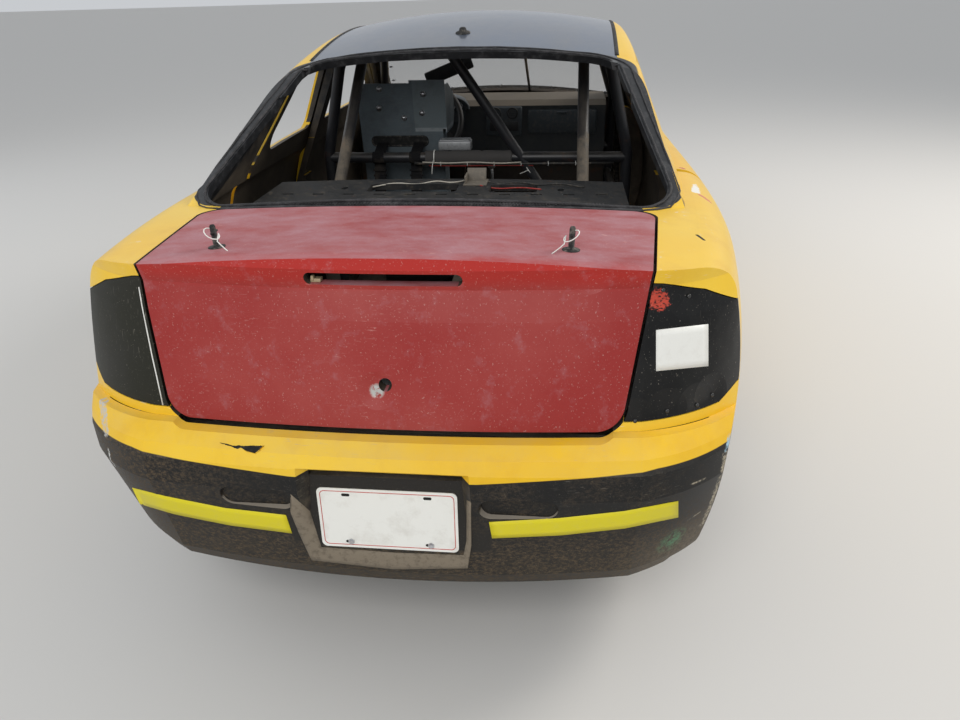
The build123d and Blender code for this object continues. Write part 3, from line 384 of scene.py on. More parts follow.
SCREWS_PX = [(663, 290), (689, 296), (635, 421), (667, 411), (697, 405), (712, 395)]
RED_SMUDGE_PX, LOCK_TEAR_PX, LID_DENT_PX, GREEN_SMEAR_PX = (659, 300), (377, 391), (590, 270), (672, 540)
# The slot in the right quarter, painted as a black line of shade.
QUARTER_SLOT_PX = [(697, 235), (704, 240)]
# Faded patches on the flank: node and pixel of both ends, width, colour
FADED_PATCHES_PX = [(("door_rear_right", (682, 168)), ("door_rear_right", (686, 179)), 0.016,
    (0.55, 0.16, 0.10)),
                    (("door_rear_right", (690, 183)), ("quarter_right", (696, 192)), 0.022, WHITE),
                    (("quarter_right", (700, 195)), ("quarter_right", (710, 202)), 0.014, (0.62, 0.22, 0.12))]
# Scuffs of the bumper, and down its right end's edge a pale rim that is partly dust and partly painted
# highlight: line, width, how far the edge wanders, colour
BUMPER_SCUFFS_AND_SHEEN_PX = [([(104, 400), (104, 416), (106, 432)], 0.020, 0.03, TORN_GREY),
                    ([(108, 448), (115, 466), (125, 486)], 0.003, 0.016, WHITE),
                    ([(729, 436), (726, 450)], 0.008, 0.016, PALE_BLUE_SHEEN),
                    ([(725, 455), (720, 478), (712, 502), (703, 522)], 0.014, 0.050, CREAM_RUB_AND_SHEEN),
                    ([(692, 484), (706, 478)], 0.0006, 0.0024, CREAM_RUB_AND_SHEEN),
                    ([(688, 520), (700, 512)], 0.0006, 0.0024, CREAM_RUB_AND_SHEEN)]


def yellow_body():
    """Body panels: yellow, faded on top, black below the rubbing line, dirt flung up from the wheels."""
    finish = Finish("yellow_body", YELLOW, 0.36, coat=0.15, shine=0.35)
    finish.layer(finish.noise(1.3, 4.0).band(0.4, 0.75), YELLOW_FADED)
    finish.layer(finish.noise(9.0, 6.0, seed=8).band(0.55, 0.8) * 0.35, YELLOW_DEEP)
    finish.scuff(WHITE, 0.5, (1, 1, 10), 2.0)
    finish.layer((finish.z + finish.noise(3.0, 3.0) * 0.03).band(0.322, 0.317), BLACK_WORN, 0.6)
    finish.dust(0.12)
    # Painted shade: the slot in the right quarter, drawn as a black line.
    finish.layer(finish.track(places("quarter_right", QUARTER_SLOT_PX), 0.006, 0.0015), GLOSS_BLACK, 0.9)
    for start, end, width, colour in FADED_PATCHES_PX:
        finish.layer(finish.track([seen(*start)[0], seen(*end)[0]], width, 0.002, 0.02), colour, 0.6)
    outside_in(finish)
    window_border(finish)
    splash = finish.z.band(0.62, 0.18) * finish.noise(14.0, 8.0, 0.75).band(0.38, 0.68)
    finish.layer(splash * 0.75, DUST, 0.9)
    finish.bump(finish.noise(2.5, 3.0, seed=4), 0.004, 0.35)
    return finish.bump(finish.noise(900.0, 2.0), 0.00006).done()


def red_lid():
    """Boot lid: faded red, a painted highlight along the crease, a deck under pinkish dust, and dents."""
    finish = Finish("red_lid", RED, 0.42, coat=0.05, shine=0.35)
    dent, tear = places("trunk_lid", (LID_DENT_PX, LOCK_TEAR_PX))
    finish.layer(finish.noise(2.4).band(0.42, 0.72), RED_FADED)
    # Painted highlight: brighter red along the band of the lid's rear crease.
    finish.layer(finish.z.band(0.955, 0.99) * finish.x.band(-2.06, -2.10), RED_CREASE_HIGHLIGHT)
    finish.layer(finish.noise(26.0, 6.0, 0.7).band(0.55, 0.75) * 0.3, PINK_DUST)
    patchy = finish.noise(11.0, 9.0, 0.72, (1.0, 0.5, 1.0)).band(0.28, 0.66)
    finish.layer(finish.up.band(0.80, 0.99) * patchy * 0.9, PINK_DUST, 0.8)
    finish.layer(finish.noise(230.0, 3.0).band(0.63, 0.70) * 0.45, PINK_SPECK, 0.8)
    finish.scuff(PINK_SCRATCH, 0.5, (1, 1, 9), 6.0)
    torn = finish.spot(tear, 0.011, 0.007) * finish.noise(90.0, 5.0, 0.7).band(0.42, 0.5)
    finish.layer(torn, TORN_GREY, 0.4, 0.5)
    finish.bump(1.0 - finish.spot(dent, 0.004, 0.05), 0.012)
    finish.bump(1.0 - finish.spot(tear, 0.012, 0.03), 0.006)
    outside_in(finish)
    finish.bump(finish.noise(3.5, 2.0, seed=4), 0.006, 0.4)
    return finish.bump(finish.noise(700.0, 2.0), 0.00008).done()


def roof_black():
    """Roof skin: black lifted towards blue-grey, under patches of painted sky reflection, flecked with pale
    dust.
    """
    finish = Finish("roof_black", ROOF_BLACK, 0.28, coat=0.7)
    # Painted reflection: blue-grey patches stand for the sky's sheen on the black roof.
    finish.layer(finish.noise(4.0, 9.0, 0.72, (0.6, 1.0, 1.0)).band(0.25, 0.75) * 0.8, ROOF_SKY_SHEEN, 0.5)
    finish.layer(finish.noise(160.0, 4.0, 0.7).band(0.60, 0.68) * 0.4, DUST_PALE, 0.8)
    outside_in(finish)
    window_border(finish)
    return finish.bump(finish.noise(3.0, 2.0), 0.004, 0.4).done()


def bumper_cover():
    """Rear bumper: yellow above a line that rises to the corners, dusty black below, rubbed at the ends, with a
    painted highlight mixed into the dust along the right end's edge.
    """
    finish = Finish("bumper_cover", YELLOW, 0.40, coat=0.1, shine=0.25)
    y, z, aside = finish.y, finish.z, abs(finish.y)
    finish.layer(finish.noise(1.6, 4.0).band(0.4, 0.75), YELLOW_FADED)
    finish.layer(finish.noise(12.0, 6.0, seed=8).band(0.5, 0.8) * 0.35, YELLOW_DEEP)
    line = aside.band(0.12, 0.56) * 0.034 + 0.598
    black = (z - line).band(0.0008, -0.0008) | aside.band(0.232, 0.230) * z.band(0.6045, 0.6035)
    finish.layer(black, BLACK, 0.5)
    where = z.band(0.54, 0.38) | y.band(0.20, 0.60) | finish.noise(5.0, 6.0, 0.7).band(0.45, 0.8)
    where = where.band(0.0, 0.8)
    speckle = black * finish.noise(150.0, 6.0, 0.85, (1.0, 0.6, 1.0)).band(0.47, 0.58) * where
    finish.layer(speckle * 0.9, SOIL_DARK, 0.9)
    finish.layer(black * finish.noise(420.0, 3.0, 0.7).band(0.66, 0.72) * where * 0.8, GRIT, 0.9)
    lower = black * z.band(0.45, 0.26) * finish.noise(22.0, 8.0, 0.7).band(0.3, 0.7)
    finish.layer(lower * 0.4, SOIL_LOW, 0.9)
    # Pale soil on the lower right end, growing towards its edge: partly dust, partly painted highlight of the
    # grazing edge.
    ends = black * z.band(0.46, 0.34) * y.band(-0.48, -0.66) * finish.noise(120.0, 6.0, 0.85).band(0.36, 0.60)
    finish.layer(ends * 0.8, PALE_SOIL_AND_SHEEN, 0.9)
    finish.scuff(DUST_PALE, 0.45, (1, 1, 14), 3.0)
    # Scuffs; the long pale rim down the right end's edge is partly dust and partly painted highlight, its blue
    # top a painted sky reflection.
    for pixels, width, wander, colour in BUMPER_SCUFFS_AND_SHEEN_PX:
        rubbed = finish.track(places("rear_bumper", pixels), width, 0.003, wander)
        finish.layer(rubbed * finish.noise(85.0, 6.0, 0.8).band(0.42, 0.56), colour, 0.6)
    smear = finish.spot(seen("rear_bumper", GREEN_SMEAR_PX)[0], 0.016, 0.03)
    finish.layer(smear * finish.noise(60.0, 6.0, 0.75).band(0.42, 0.58), GREEN_SMEAR, 0.8)
    recess = aside.band(0.225, 0.220) * finish.x.band(-2.275, -2.270) * z.band(0.604, 0.602) * z.band(0.40,
        0.41)
    finish.layer(recess, RECESS_BLACK, 0.6)
    chamfer = aside.band(0.235, 0.230) * finish.face_x.band(-0.93, -0.87) * z.band(0.34,
        0.345) * z.band(0.60, 0.595)
    finish.layer(chamfer * finish.noise(26.0, 6.0, 0.7).band(0.4, 0.7) * 0.35, SOIL_CHAMFER, 0.85)
    sill = aside.band(0.240, 0.235) * z.band(0.42, 0.41) * finish.up.band(0.20, 0.35)
    finish.layer(sill, SOIL_SILL, 0.8)
    lip = abs(aside - 0.283).band(0.084, 0.080) * abs(z - 0.528).band(0.036, 0.032) * finish.up.band(0.12,
        0.35)
    finish.layer(lip, LIP_GREY, 0.7)
    finish.dust(0.3)
    return finish.bump(finish.noise(500.0, 3.0), 0.0001).done()


def black_sheet(name, colour, rough, coat, dents, smudge=None, pits=()):
    """Painted sheet plates over the lamp openings, dented at their screws."""
    finish = Finish(name, colour, rough, coat=coat, shine=0.25)
    if smudge:
        edge = finish.spot(smudge, 0.012, 0.020) + (finish.noise(130.0, 6.0, 0.75) - 0.5) * 2.4
        strokes = finish.noise(230.0, 3.0, 0.7, (1.0, 0.35, 1.0)).band(0.38, 0.50)
        finish.layer(edge.band(0.44, 0.60) * finish.spot(smudge, 0.030, 0.004) * strokes, RED_SMEAR, 0.75)
    for pit in pits:
        finish.bump(1.0 - finish.spot(pit, 0.004, 0.045), 0.008)
    finish.layer(finish.noise(7.0, 6.0).band(0.45, 0.8) * 0.5, BLACK_WORN)
    finish.scuff(DUST_PALE, 0.35, (1, 9, 1), 7.0)
    finish.layer(finish.noise(300.0, 3.0).band(0.67, 0.72) * 0.5, DUST_PALE, 0.8)
    return finish.bump(finish.noise(9.0, 2.0, seed=2), dents, 0.7).done()


def gloss_cover():
    """The right rear lamp cover: gloss black, with a red smudge."""
    smudge, *pits = places("rear_lamp_cover_right", [RED_SMUDGE_PX, *SCREWS_PX])
    return black_sheet("lamp_cover_gloss", GLOSS_BLACK, 0.28, 0.12, 0.006, smudge, pits)


def dark_steel(name, colour, rough, rust, dust):
    """Painted or bare steel in the cabin and underneath, with rust and dust."""
    finish = Finish(name, colour, rough, metal=0.2)
    finish.layer(finish.noise(13.0, 7.0, 0.7).band(0.55, 0.75) * rust, RUST, 0.85)
    finish.dust(dust, DUST)
    return finish.bump(finish.noise(300.0, 3.0), 0.0001).done()


def tank_sheet():
    """Fuel cell: aluminium sheet, brushed and smeared."""
    finish = Finish("tank_sheet", BARE_METAL, 0.42, metal=0.75)
    brushed = finish.noise(60.0, 3.0, 0.5, (1, 1, 16))
    finish.layer(brushed.band(0.3, 0.7), [1.3 * c for c in BARE_METAL], 0.52)
    finish.layer(finish.noise(7.0, 6.0).band(0.45, 0.75) * 0.5, (0.10, 0.10, 0.10), 0.7)
    return finish.bump(brushed, 0.0001).done()


def seat_sheet():
    """Seat: dull grey-blue aluminium plates, the right one brighter, its edge rubbed."""
    finish = Finish("seat_sheet", SEAT_METAL, 0.5, metal=0.35, shine=0.3)
    right = finish.y.band(0.262, 0.258) * finish.z.band(0.965, 0.970)
    finish.layer(right, (0.17, 0.205, 0.22), 0.42)
    finish.layer(right * finish.z.band(0.955, 0.960) * finish.z.band(0.985, 0.980), (0.36, 0.40, 0.42), 0.35)
    finish.layer(finish.noise(40.0, 4.0, 0.6, (1, 1, 9)).band(0.52, 0.8), (0.18, 0.20, 0.21), 0.6)
    finish.layer(finish.noise(8.0, 7.0, 0.7).band(0.45, 0.75) * 0.5, (0.05, 0.055, 0.055), 0.7)
    finish.bump(finish.noise(60.0, 3.0, 0.5, (1, 1, 16)), 0.0001)
    return finish.bump(finish.noise(5.0, 3.0), 0.004, 0.5).done()


def shelf_steel():
    """Rear shelf: bare dark sheet, grey where rubbed, browned in drifts."""
    finish = Finish("shelf_steel", (0.014, 0.015, 0.016), 0.55, metal=0.2, shine=0.3)
    finish.layer(finish.noise(18.0, 8.0, 0.75).band(0.42, 0.68) * 0.5, (0.055, 0.050, 0.045), 0.85)
    finish.layer(finish.noise(60.0, 5.0, 0.7, seed=5).band(0.56, 0.68) * 0.5, (0.12, 0.10, 0.075), 0.9)
    finish.layer(finish.noise(30.0, 5.0, 0.7, seed=9).band(0.66, 0.72) * 0.6, RUST, 0.9)
    return finish.bump(finish.noise(300.0, 3.0), 0.0002).done()


def cage_steel():
    """Cage tubes: black paint over steel, rubbed, browned by dust on top and along the rear braces."""
    finish = Finish("cage_black", (0.016, 0.017, 0.020), 0.38, metal=0.1, shine=0.4)
    ragged = finish.z + (finish.noise(14.0, 6.0, 0.7) - 0.5) * 0.16
    brace = finish.x.band(-0.56, -0.66) * ragged.band(1.030, 1.010)
    finish.layer(brace * finish.noise(26.0, 8.0, 0.75).band(0.28, 0.62), (0.15, 0.125, 0.095), 0.9)
    finish.layer(finish.noise(13.0, 7.0, 0.7).band(0.58, 0.75) * 0.3, RUST, 0.85)
    finish.dust(0.3, DUST)
    return finish.bump(finish.noise(300.0, 3.0), 0.0001).done()


def black_plastic():
    """Grained black plastic, dusty."""
    finish = Finish("black_plastic", (0.015, 0.015, 0.016), 0.5)
    finish.layer(finish.noise(12.0).band(0.4, 0.8) * 0.4, (0.0225, 0.0225, 0.024))
    finish.dust(0.5, DUST)
    return finish.bump(finish.cells(420.0), 0.0002).done()


def dash_plastic():
    """Dashboard: grained, beige on the faces that look up, grey below, both tones darkened as painted shade of
    the cabin.
    """
    # Painted shade: the dashboard's colours are darkened for the shaded cabin.
    finish = Finish("dash_plastic", (0.022, 0.026, 0.029), 0.55)
    finish.layer(finish.up.band(0.3, 0.5), (0.15, 0.125, 0.095), 0.8)
    finish.layer(finish.noise(9.0, 6.0, 0.7).band(0.45, 0.8) * 0.35, (0.10, 0.09, 0.07), 0.85)
    return finish.bump(finish.cells(420.0), 0.0003).done()


def tyre_rubber():
    """Tyre: black rubber browned by dust in its grooves, scuffed grey on the tread's blocks."""
    finish = Finish("tyre_rubber", (0.016, 0.0155, 0.015), 0.8, shine=0.3)
    axle = finish.math("GREATER_THAN", finish.x, 0.0) * (AXLE_X["front"] - AXLE_X["rear"]) + AXLE_X["rear"]
    ahead, above = finish.x - axle, finish.z - AXLE_Z
    radius = finish.math("SQRT", ahead * ahead + above * above)
    finish.layer(finish.noise(9.0, 8.0, 0.7).band(0.35, 0.7) * 0.5, (0.085, 0.072, 0.055), 0.95)
    finish.layer(radius.band(0.3135, 0.3145) * 0.5, (0.055, 0.052, 0.048), 0.9)
    across = abs(abs(finish.y) - WHEEL_Y)
    grooves = radius.band(0.311, 0.309) * across.band(0.066, 0.064) * finish.noise(40.0, 6.0).band(0.3, 0.6)
    finish.layer(grooves * 0.6, DUST, 0.95)
    finish.bump(finish.math("SINE", radius * 900.0), 0.0003, 0.4)
    return finish.bump(finish.noise(260.0, 4.0), 0.0003).done()


def wheel_paint():
    """Rims: off-white paint, dusty, with rust spots."""
    finish = Finish("wheel_paint", (0.62, 0.61, 0.58), 0.4, coat=0.1)
    finish.layer(finish.noise(20.0, 7.0, 0.7).band(0.42, 0.7) * 0.7, DUST, 0.85)
    finish.layer(finish.noise(45.0, 5.0, 0.7, seed=3).band(0.66, 0.70), RUST, 0.9)
    return finish.bump(finish.noise(200.0, 3.0), 0.0001).done()


def window_glass():
    """Clear plastic windscreen, dusty along its foot."""
    finish = Finish("window_glass", (0.62, 0.66, 0.70), 0.08)
    finish.shader.inputs["Alpha"].default_value = 0.16
    return finish.layer(finish.z.band(1.06, 0.99) * finish.noise(7.0, 6.0).band(0.3, 0.7), DUST_PALE,
        0.6).done()


def plate_white():
    """Number plate: white and blank, a little bent."""
    finish = Finish("plate_white", WHITE, 0.35)
    finish.layer(finish.noise(15.0, 7.0, 0.7).band(0.5, 0.75) * 0.4, DUST_PALE, 0.7)
    return finish.bump(finish.noise(60.0, 2.0), 0.0004, 0.5).done()


def sealant():
    """Old sealant round the rear window: black, rough, browned."""
    finish = Finish("sealant", (0.012, 0.012, 0.014), 0.6)
    finish.layer(finish.noise(26.0, 8.0, 0.8).band(0.48, 0.66) * 0.6, (0.12, 0.115, 0.12), 0.95)
    return finish.bump(finish.noise(180.0, 5.0, 0.7), 0.003).done()


def webbing():
    """Ribbed black straps."""
    finish = Finish("webbing", (0.007, 0.007, 0.008), 0.85, shine=0.2)
    finish.layer(finish.noise(14.0, 6.0).band(0.5, 0.8) * 0.2, DUST, 0.95)
    ribs = finish.node("ShaderNodeTexWave", Vector=finish.place, Scale=420.0)
    return finish.bump(ribs.outputs["Fac"], 0.0003).done()


def plain_finish(name, colour, rough=0.5, metal=0.0, wear=DUST_PALE, amount=0.3):
    """A small part's finish: one colour, worn in patches."""
    finish = Finish(name, colour, rough, metal)
    finish.layer(finish.noise(60.0, 6.0, 0.7).band(0.5, 0.75) * amount, wear, 0.8)
    finish.bump(finish.noise(500.0, 3.0), 0.0001).done()


def dress(material, *starts):
    """Gives a finish to the nodes whose names begin in one of some ways."""
    for name, node in NODES.items():
        if name.startswith(starts):
            for slot in node.material_slots:
                slot.material = material


dress(yellow_body(), "quarter_", "roof_rail_", "sill_", "fender_", "door_", "hood", "front_panel",
    "front_bumper")
dress(roof_black(), "roof_panel")
dress(red_lid(), "trunk_lid")
dress(bumper_cover(), "rear_bumper")
dress(sealant(), "tulip_panel")
dress(black_sheet("lamp_cover_satin", OLIVE_BLACK, 0.5, 0.0, 0.002), "rear_lamp_cover_left")
dress(gloss_cover(), "rear_lamp_cover_right")
dress(black_sheet("lamp_cover_plain", (0.016, 0.016, 0.016), 0.4, 0.3, 0.003), "front_lamp_cover_")
dress(cage_steel(), "main_hoop", "front_cage", "steering_column")
# Painted shade: the floor's and firewall's steel is darkened for the shaded cabin.
dress(dark_steel("floor_steel", (0.06, 0.05, 0.042), 0.65, 0.6, 0.9), "floor_pan", "firewall")
dress(shelf_steel(), "package_shelf")
dress(dark_steel("chassis_black", (0.03, 0.028, 0.026), 0.6, 0.7, 0.6),
      "front_structure", "front_subframe", "rear_axle", "strut_")
dress(dark_steel("engine_iron", (0.10, 0.10, 0.10), 0.6, 0.5, 0.5), "engine")
dress(dark_steel("exhaust_steel", (0.16, 0.13, 0.10), 0.5, 1.0, 0.3), "exhaust")
dress(seat_sheet(), "seat")
dress(tank_sheet(), "fuel_cell")
dress(dash_plastic(), "dashboard")
dress(black_plastic(), "steering_wheel")
dress(tyre_rubber(), "tyre_")
dress(wheel_paint(), "rim_")
dress(window_glass(), "windscreen")
dress(plate_white(), "licence_plate")

webbing()
plain_finish("neon_tape", NEON, amount=0.1)
plain_finish("number_square", WHITE, 0.4, amount=0.15)
plain_finish("tray_soil", PALE_SOIL_AND_SHEEN, 0.8, wear=(0.05, 0.038, 0.026), amount=0.9)
plain_finish("screw_dull", (0.07, 0.07, 0.07), 0.3, 0.7, (0.01, 0.01, 0.01), 0.7)
plain_finish("nut_steel", (0.10, 0.09, 0.08), 0.45, 0.8, RUST, 0.6)
plain_finish("lamp_filler", (0.012, 0.012, 0.012), wear=DUST, amount=0.2)
plain_finish("alloy_worn", (0.32, 0.33, 0.34), 0.5, 0.7, (0.06, 0.05, 0.04), 0.6)
plain_finish("screw_steel", BARE_METAL, 0.35, 0.9, RUST, 0.5)
plain_finish("black_rubber", BLACK, 0.7, amount=0.4)
plain_finish("white_tie", WHITE, amount=0.4)
plain_finish("beige_clip", (0.42, 0.33, 0.2), 0.6)
plain_finish("red_line", (0.5, 0.03, 0.02), wear=WHITE)
plain_finish("handle_yellow", YELLOW, 0.4, wear=YELLOW_DEEP, amount=0.5)
plain_finish("yellow_flap", YELLOW, 0.4, wear=YELLOW_DEEP)
# Black for holes: painted shade in the bumper's tear, the plate's slots and the seat's slot; also the wheel
# houses' edges.
plain_finish("hole_dark", BLACK, 0.9, amount=0.1)
plain_finish("grey_foam", (0.055, 0.052, 0.050), 0.95, wear=(0.04, 0.04, 0.045), amount=0.6)
plain_finish("dial_face", (0.02, 0.02, 0.022), 0.3, amount=0.2)
plain_finish("dial_ring", (0.45, 0.46, 0.48), 0.3, 0.8)
plain_finish("dash_grey", (0.045, 0.055, 0.062), 0.45, wear=DUST, amount=0.25)
plain_finish("shelf_metal", (0.12, 0.105, 0.085), 0.6, 0.3, DUST, 0.6)
plain_finish("wire_black", (0.012, 0.012, 0.012), 0.6, wear=DUST, amount=0.5)
plain_finish("wire_red", (0.30, 0.02, 0.015), 0.6, wear=DUST, amount=0.4)
plain_finish("wire_pale", (0.45, 0.42, 0.36), 0.6, wear=DUST, amount=0.5)
plain_finish("mesh_steel", (0.05, 0.05, 0.05), 0.5, 0.6, RUST, 0.4)


# Points

def spread(start, end, count):
    """Evenly spaced values from start to end, over a count of steps."""
    return [start + (end - start) * k / count for k in range(count + 1)]


def about(place, *offsets):
    """Points at some offsets from a place."""
    return [Vector(place) + Vector(offset) for offset in offsets]


def ellipse(centre, across, up, angles):
    """Points round a centre, from its two half axes."""
    return [Vector(centre) + math.cos(a) * Vector(across) + math.sin(a) * Vector(up) for a in angles]


def strung(points, count):
    """A row of points with each span divided into a count of parts."""
    made = [Vector(a).lerp(Vector(b), k / count) for a, b in zip(points, points[1:]) for k in range(count)]
    return [*made, Vector(points[-1])]


def along(points, share):
    """The point at a share of a row of points."""
    spans = [(Vector(b) - Vector(a)).length for a, b in zip(points, points[1:])]
    left = share * sum(spans)
    for start, end, span in zip(points, points[1:], spans):
        if left <= span or end is points[-1]:
            return Vector(start).lerp(Vector(end), min(1.0, left / span))
        left -= span


def smooth_run(points, steps=5):
    """A row of points rounded at its corners."""
    points = [Vector(point) for point in points]
    made = [points[0]]
    for a, b, c in zip(points, points[1:], points[2:]):
        made += [((a + b) / 2).lerp(b, t).lerp(b.lerp((b + c) / 2, t), t) for t in spread(0.0, 1.0,
            steps)[:-1]]
    return [*made, points[-1]]


def rounded_corners(half_a, half_b, radius, steps):
    """A rounded rectangle about the origin."""
    points = []
    for sign_a, sign_b, start in ((1, 1, 0), (-1, 1, 90), (-1, -1, 180), (1, -1, 270)):
        for angle in spread(math.radians(start), math.radians(start + 90), steps):
            points.append((sign_a * (half_a - radius) + radius * math.cos(angle),
                           sign_b * (half_b - radius) + radius * math.sin(angle)))
    return points


def turned_by(degrees, axis):
    return Matrix.Rotation(math.radians(degrees), 3, axis)


# Forms

class Form:
    """A mesh in the making; its steps can be chained."""

    def __init__(self):
        self.mesh = bmesh.new()

    def loft(self, rings, ends="open"):
        """Faces between rings of points, whose ends are left open, capped, or joined to each other."""
        made = [[self.mesh.verts.new(point) for point in ring] for ring in rings]
        count = max(len(ring) for ring in made)
        for low, high in zip(made, [*made[1:], made[0]] if ends == "joined" else made[1:]):
            for i in range(count):
                j = (i + 1) % count
                corners = [low[i % len(low)], low[j % len(low)], high[j % len(high)], high[i % len(high)]]
                self.mesh.faces.new(list(dict.fromkeys(corners)))
        if ends == "capped":
            self.mesh.faces.new(made[0][::-1])
            self.mesh.faces.new(made[-1])
        return self

    def turned(self, profile, place, axis, segments=20):
        """A turned form: its profile is (radius, height) pairs along the axis, in millimetres."""
        turn = UP.rotation_difference(Vector(axis).normalized()).to_matrix()
        rings = []
        for radius, height in profile:
            angles = spread(0.0, FULL_TURN, segments)[:-1] if radius else [0.0]
            rings.append([Vector(place) + turn @ Vector((radius * math.cos(a), radius * math.sin(a),
                height)) * MM
                          for a in angles])
        return self.loft(rings)

    def tube(self, points, radius, segments=10):
        """A round bar along a row of points."""
        points = [Vector(point) for point in points]
        side = (points[1] - points[0]).orthogonal().normalized()
        rings = []
        for before, point, after in zip([points[0], *points], points, [*points[1:], points[-1]]):
            ahead = (after - before).normalized()
            side = (side - ahead * side.dot(ahead)).normalized()
            circle = spread(0.0, FULL_TURN, segments)[:-1]
            rings.append(ellipse(point, radius * side, radius * ahead.cross(side), circle))
        return self.loft(rings, "capped")

    def ribbon(self, points, width, thick):
        """A flat strap along a row of points, its width across the car."""
        points = [Vector(point) for point in points]
        side = Vector((0.0, width / 2, 0.0))
        rings = []
        for before, point, after in zip([points[0], *points], points, [*points[1:], points[-1]]):
            flat = (after - before).cross(side).normalized() * thick / 2
            rings.append([point + a * side + b * flat for a, b in ((-1, -1), (1, -1), (1, 1), (-1, 1))])
        return self.loft(rings, "capped")

    def quads(self, rows):
        """Faces between rows of points; gives back their vertices."""
        grid = [[self.mesh.verts.new(point) for point in row] for row in rows]
        for upper, lower in zip(grid, grid[1:]):
            for a, b, c, d in zip(upper, upper[1:], lower[1:], lower):
                self.mesh.faces.new((a, d, c, b))
        return grid

    def sheet(self, rows, lifts=(0.0012, -0.0008)):
        """A thin sheet from rows of (place, normal), with a rim that reaches into what it lies on."""

        def outline(grid):
            return [*grid[0][:-1], *[row[-1] for row in grid[:-1]],
                    *grid[-1][:0:-1], *[row[0] for row in grid[:0:-1]]]

        rim = outline(self.quads([[place + normal * lifts[0] for place, normal in row] for row in rows]))
        sunk = [self.mesh.verts.new(place + normal * lifts[1]) for place, normal in outline(rows)]
        for i in range(len(rim)):
            self.mesh.faces.new((rim[i - 1], rim[i], sunk[i], sunk[i - 1]))
        return self.outward()

    def plate(self, rim, rise):
        """A thin closed plate from the points of its rim."""
        return self.loft([rim, [point + rise for point in rim]], "capped").outward()

    def block(self, centre, size, bevel, turn=Matrix()):
        """A block with rounded edges, turned about its centre."""
        matrix = Matrix.Translation(centre) @ turn.to_4x4() @ Matrix.Diagonal((*size, 1.0))
        made = bmesh.ops.create_cube(self.mesh, size=1.0, matrix=matrix)
        edges = {edge for vertex in made["verts"] for edge in vertex.link_edges}
        bmesh.ops.bevel(self.mesh, geom=list(edges), offset=bevel, segments=2, affect="EDGES", profile=0.6)
        return self

    def outward(self):
        """Turns all faces outwards."""
        bmesh.ops.recalc_face_normals(self.mesh, faces=self.mesh.faces)
        return self

    def object(self, name, finish, smooth):
        data = bpy.data.meshes.new(name)
        self.mesh.to_mesh(data)
        self.mesh.free()
        for polygon in data.polygons:
            polygon.use_smooth = smooth
        made = bpy.data.objects.new(name, data)
        made.data.materials.append(FINISHES[finish])
        bpy.context.scene.collection.objects.link(made)
        return made

    def piece(self, name, finish, body="body_shell", smooth=True):
        """Makes an object of the form, with a finish, that rides on a body."""
        made = self.object(name, finish, smooth)
        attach(made, body)
        return made


def laid(name, node, rows_px, finish, columns=24, rows=4, lifts=(0.0012, -0.0008), ragged=0.0):
    """A thin sheet laid on a node between two rows of the photograph's pixels."""
    grid = []
    for r in range(rows + 1):
        line = []
        for c in range(columns + 1):
            top, bottom = [along(row, c / columns) for row in rows_px]
            wander = Vector((noise.noise((c, r, 1.5)), noise.noise((c, r, 7.5))))
            line.append(seen(node, top.lerp(bottom, r / rows) + ragged * wander))
        for c in range(1, columns + 1):
            line[c] = line[c] or line[c - 1]
        for c in range(columns - 1, -1, -1):
            line[c] = line[c] or line[c + 1]
        grid.append(line)
    Form().sheet([[line[c] for line in grid] for c in range(columns + 1)], lifts).piece(name, finish,
        BODY_OF[node])


# Rear face

TAPE_LEFT_PX = ([(126, 486), (165, 496), (225, 508), (286, 515)],
    [(134, 502), (175, 514), (230, 525), (292, 533)])
TAPE_RIGHT_PX = ([(489, 522), (560, 518), (625, 511), (678, 501)],
    [(492, 538), (560, 535), (625, 528), (678, 517)])
NUMBER_PX = ([(656, 330), (708, 324)], [(656, 371), (708, 366)])
COVER_SCREW = [(4.5, -1), (4.5, 1), (3.3, 2.5), (1.5, 3), (0, 2.7)]
PIN_PX = {"pin_left": (217, 247), "pin_right": (571, 250)}
LID_PIN = [(19, -1), (19, 1.5), (13, 3), (6.5, 4), (6.5, 46), (4.5, 50), (0, 51)]
CLIP_PX = (316, 282)
EDGE_LINE_PX = [(139, 287), (142, 305), (147, 330), (152, 355), (158, 382), (163, 405)]
TRAY_INNER_PX = [(290.5, 494), (310, 511), (321.5, 547), (394, 552.5), (463.5, 555), (466.5, 540),
    (466.5, 500)]
TRAY_OUTER_PX = [(291.5, 511), (300, 532), (312.5, 558.5), (394, 567.5), (468, 566.5), (471.5, 545),
    (471, 502)]
TRAY_RISE = (0.0010, 0.0030, 0.0050, 0.0065, 0.0060)
BUMPER_REACH = -2.2880
TEAR_TOP_PX = [(220.1, 442.8), (227.8, 444.3), (233.9, 445.8), (239.5, 445.4), (243.1, 446.3), (252.3, 445.6),
               (257.0, 446.0), (264.5, 445.7)]
TEAR_BOTTOM_PX = [(220.3, 443.1), (228.5, 445.8), (233.9, 447.7), (237.7, 448.9), (240.8, 447.3),
    (244.6, 450.7),
                  (255.3, 453.8), (259.9, 450.7), (264.2, 446.2)]

# Plate: middle of its back, tilt, thickness; half sizes of the line and places of the slots
PLATE_PLACE, PLATE_TILT, PLATE_THICK = Vector((-2.266, 0.0, 0.484)), math.radians(4.0), 0.002
PLATE_LINE_X, PLATE_LINE_Z, PLATE_HOLE_X, PLATE_HOLE_Z = 0.1455, 0.0690, 0.0889, 0.0605
PLATE_BOLT = [(7.5, 0.2), (7.5, 1.6), (5, 1.8), (5, 5.2), (0, 5.6)]


def tapes_and_square():
    """Neon tape on the bumper, and a blank square on the right lamp cover."""
    laid("tape_left", "rear_bumper", TAPE_LEFT_PX, "neon_tape")
    laid("tape_right", "rear_bumper", TAPE_RIGHT_PX, "neon_tape")
    laid("number_square", "rear_lamp_cover_right", NUMBER_PX, "number_square", 8, 6)


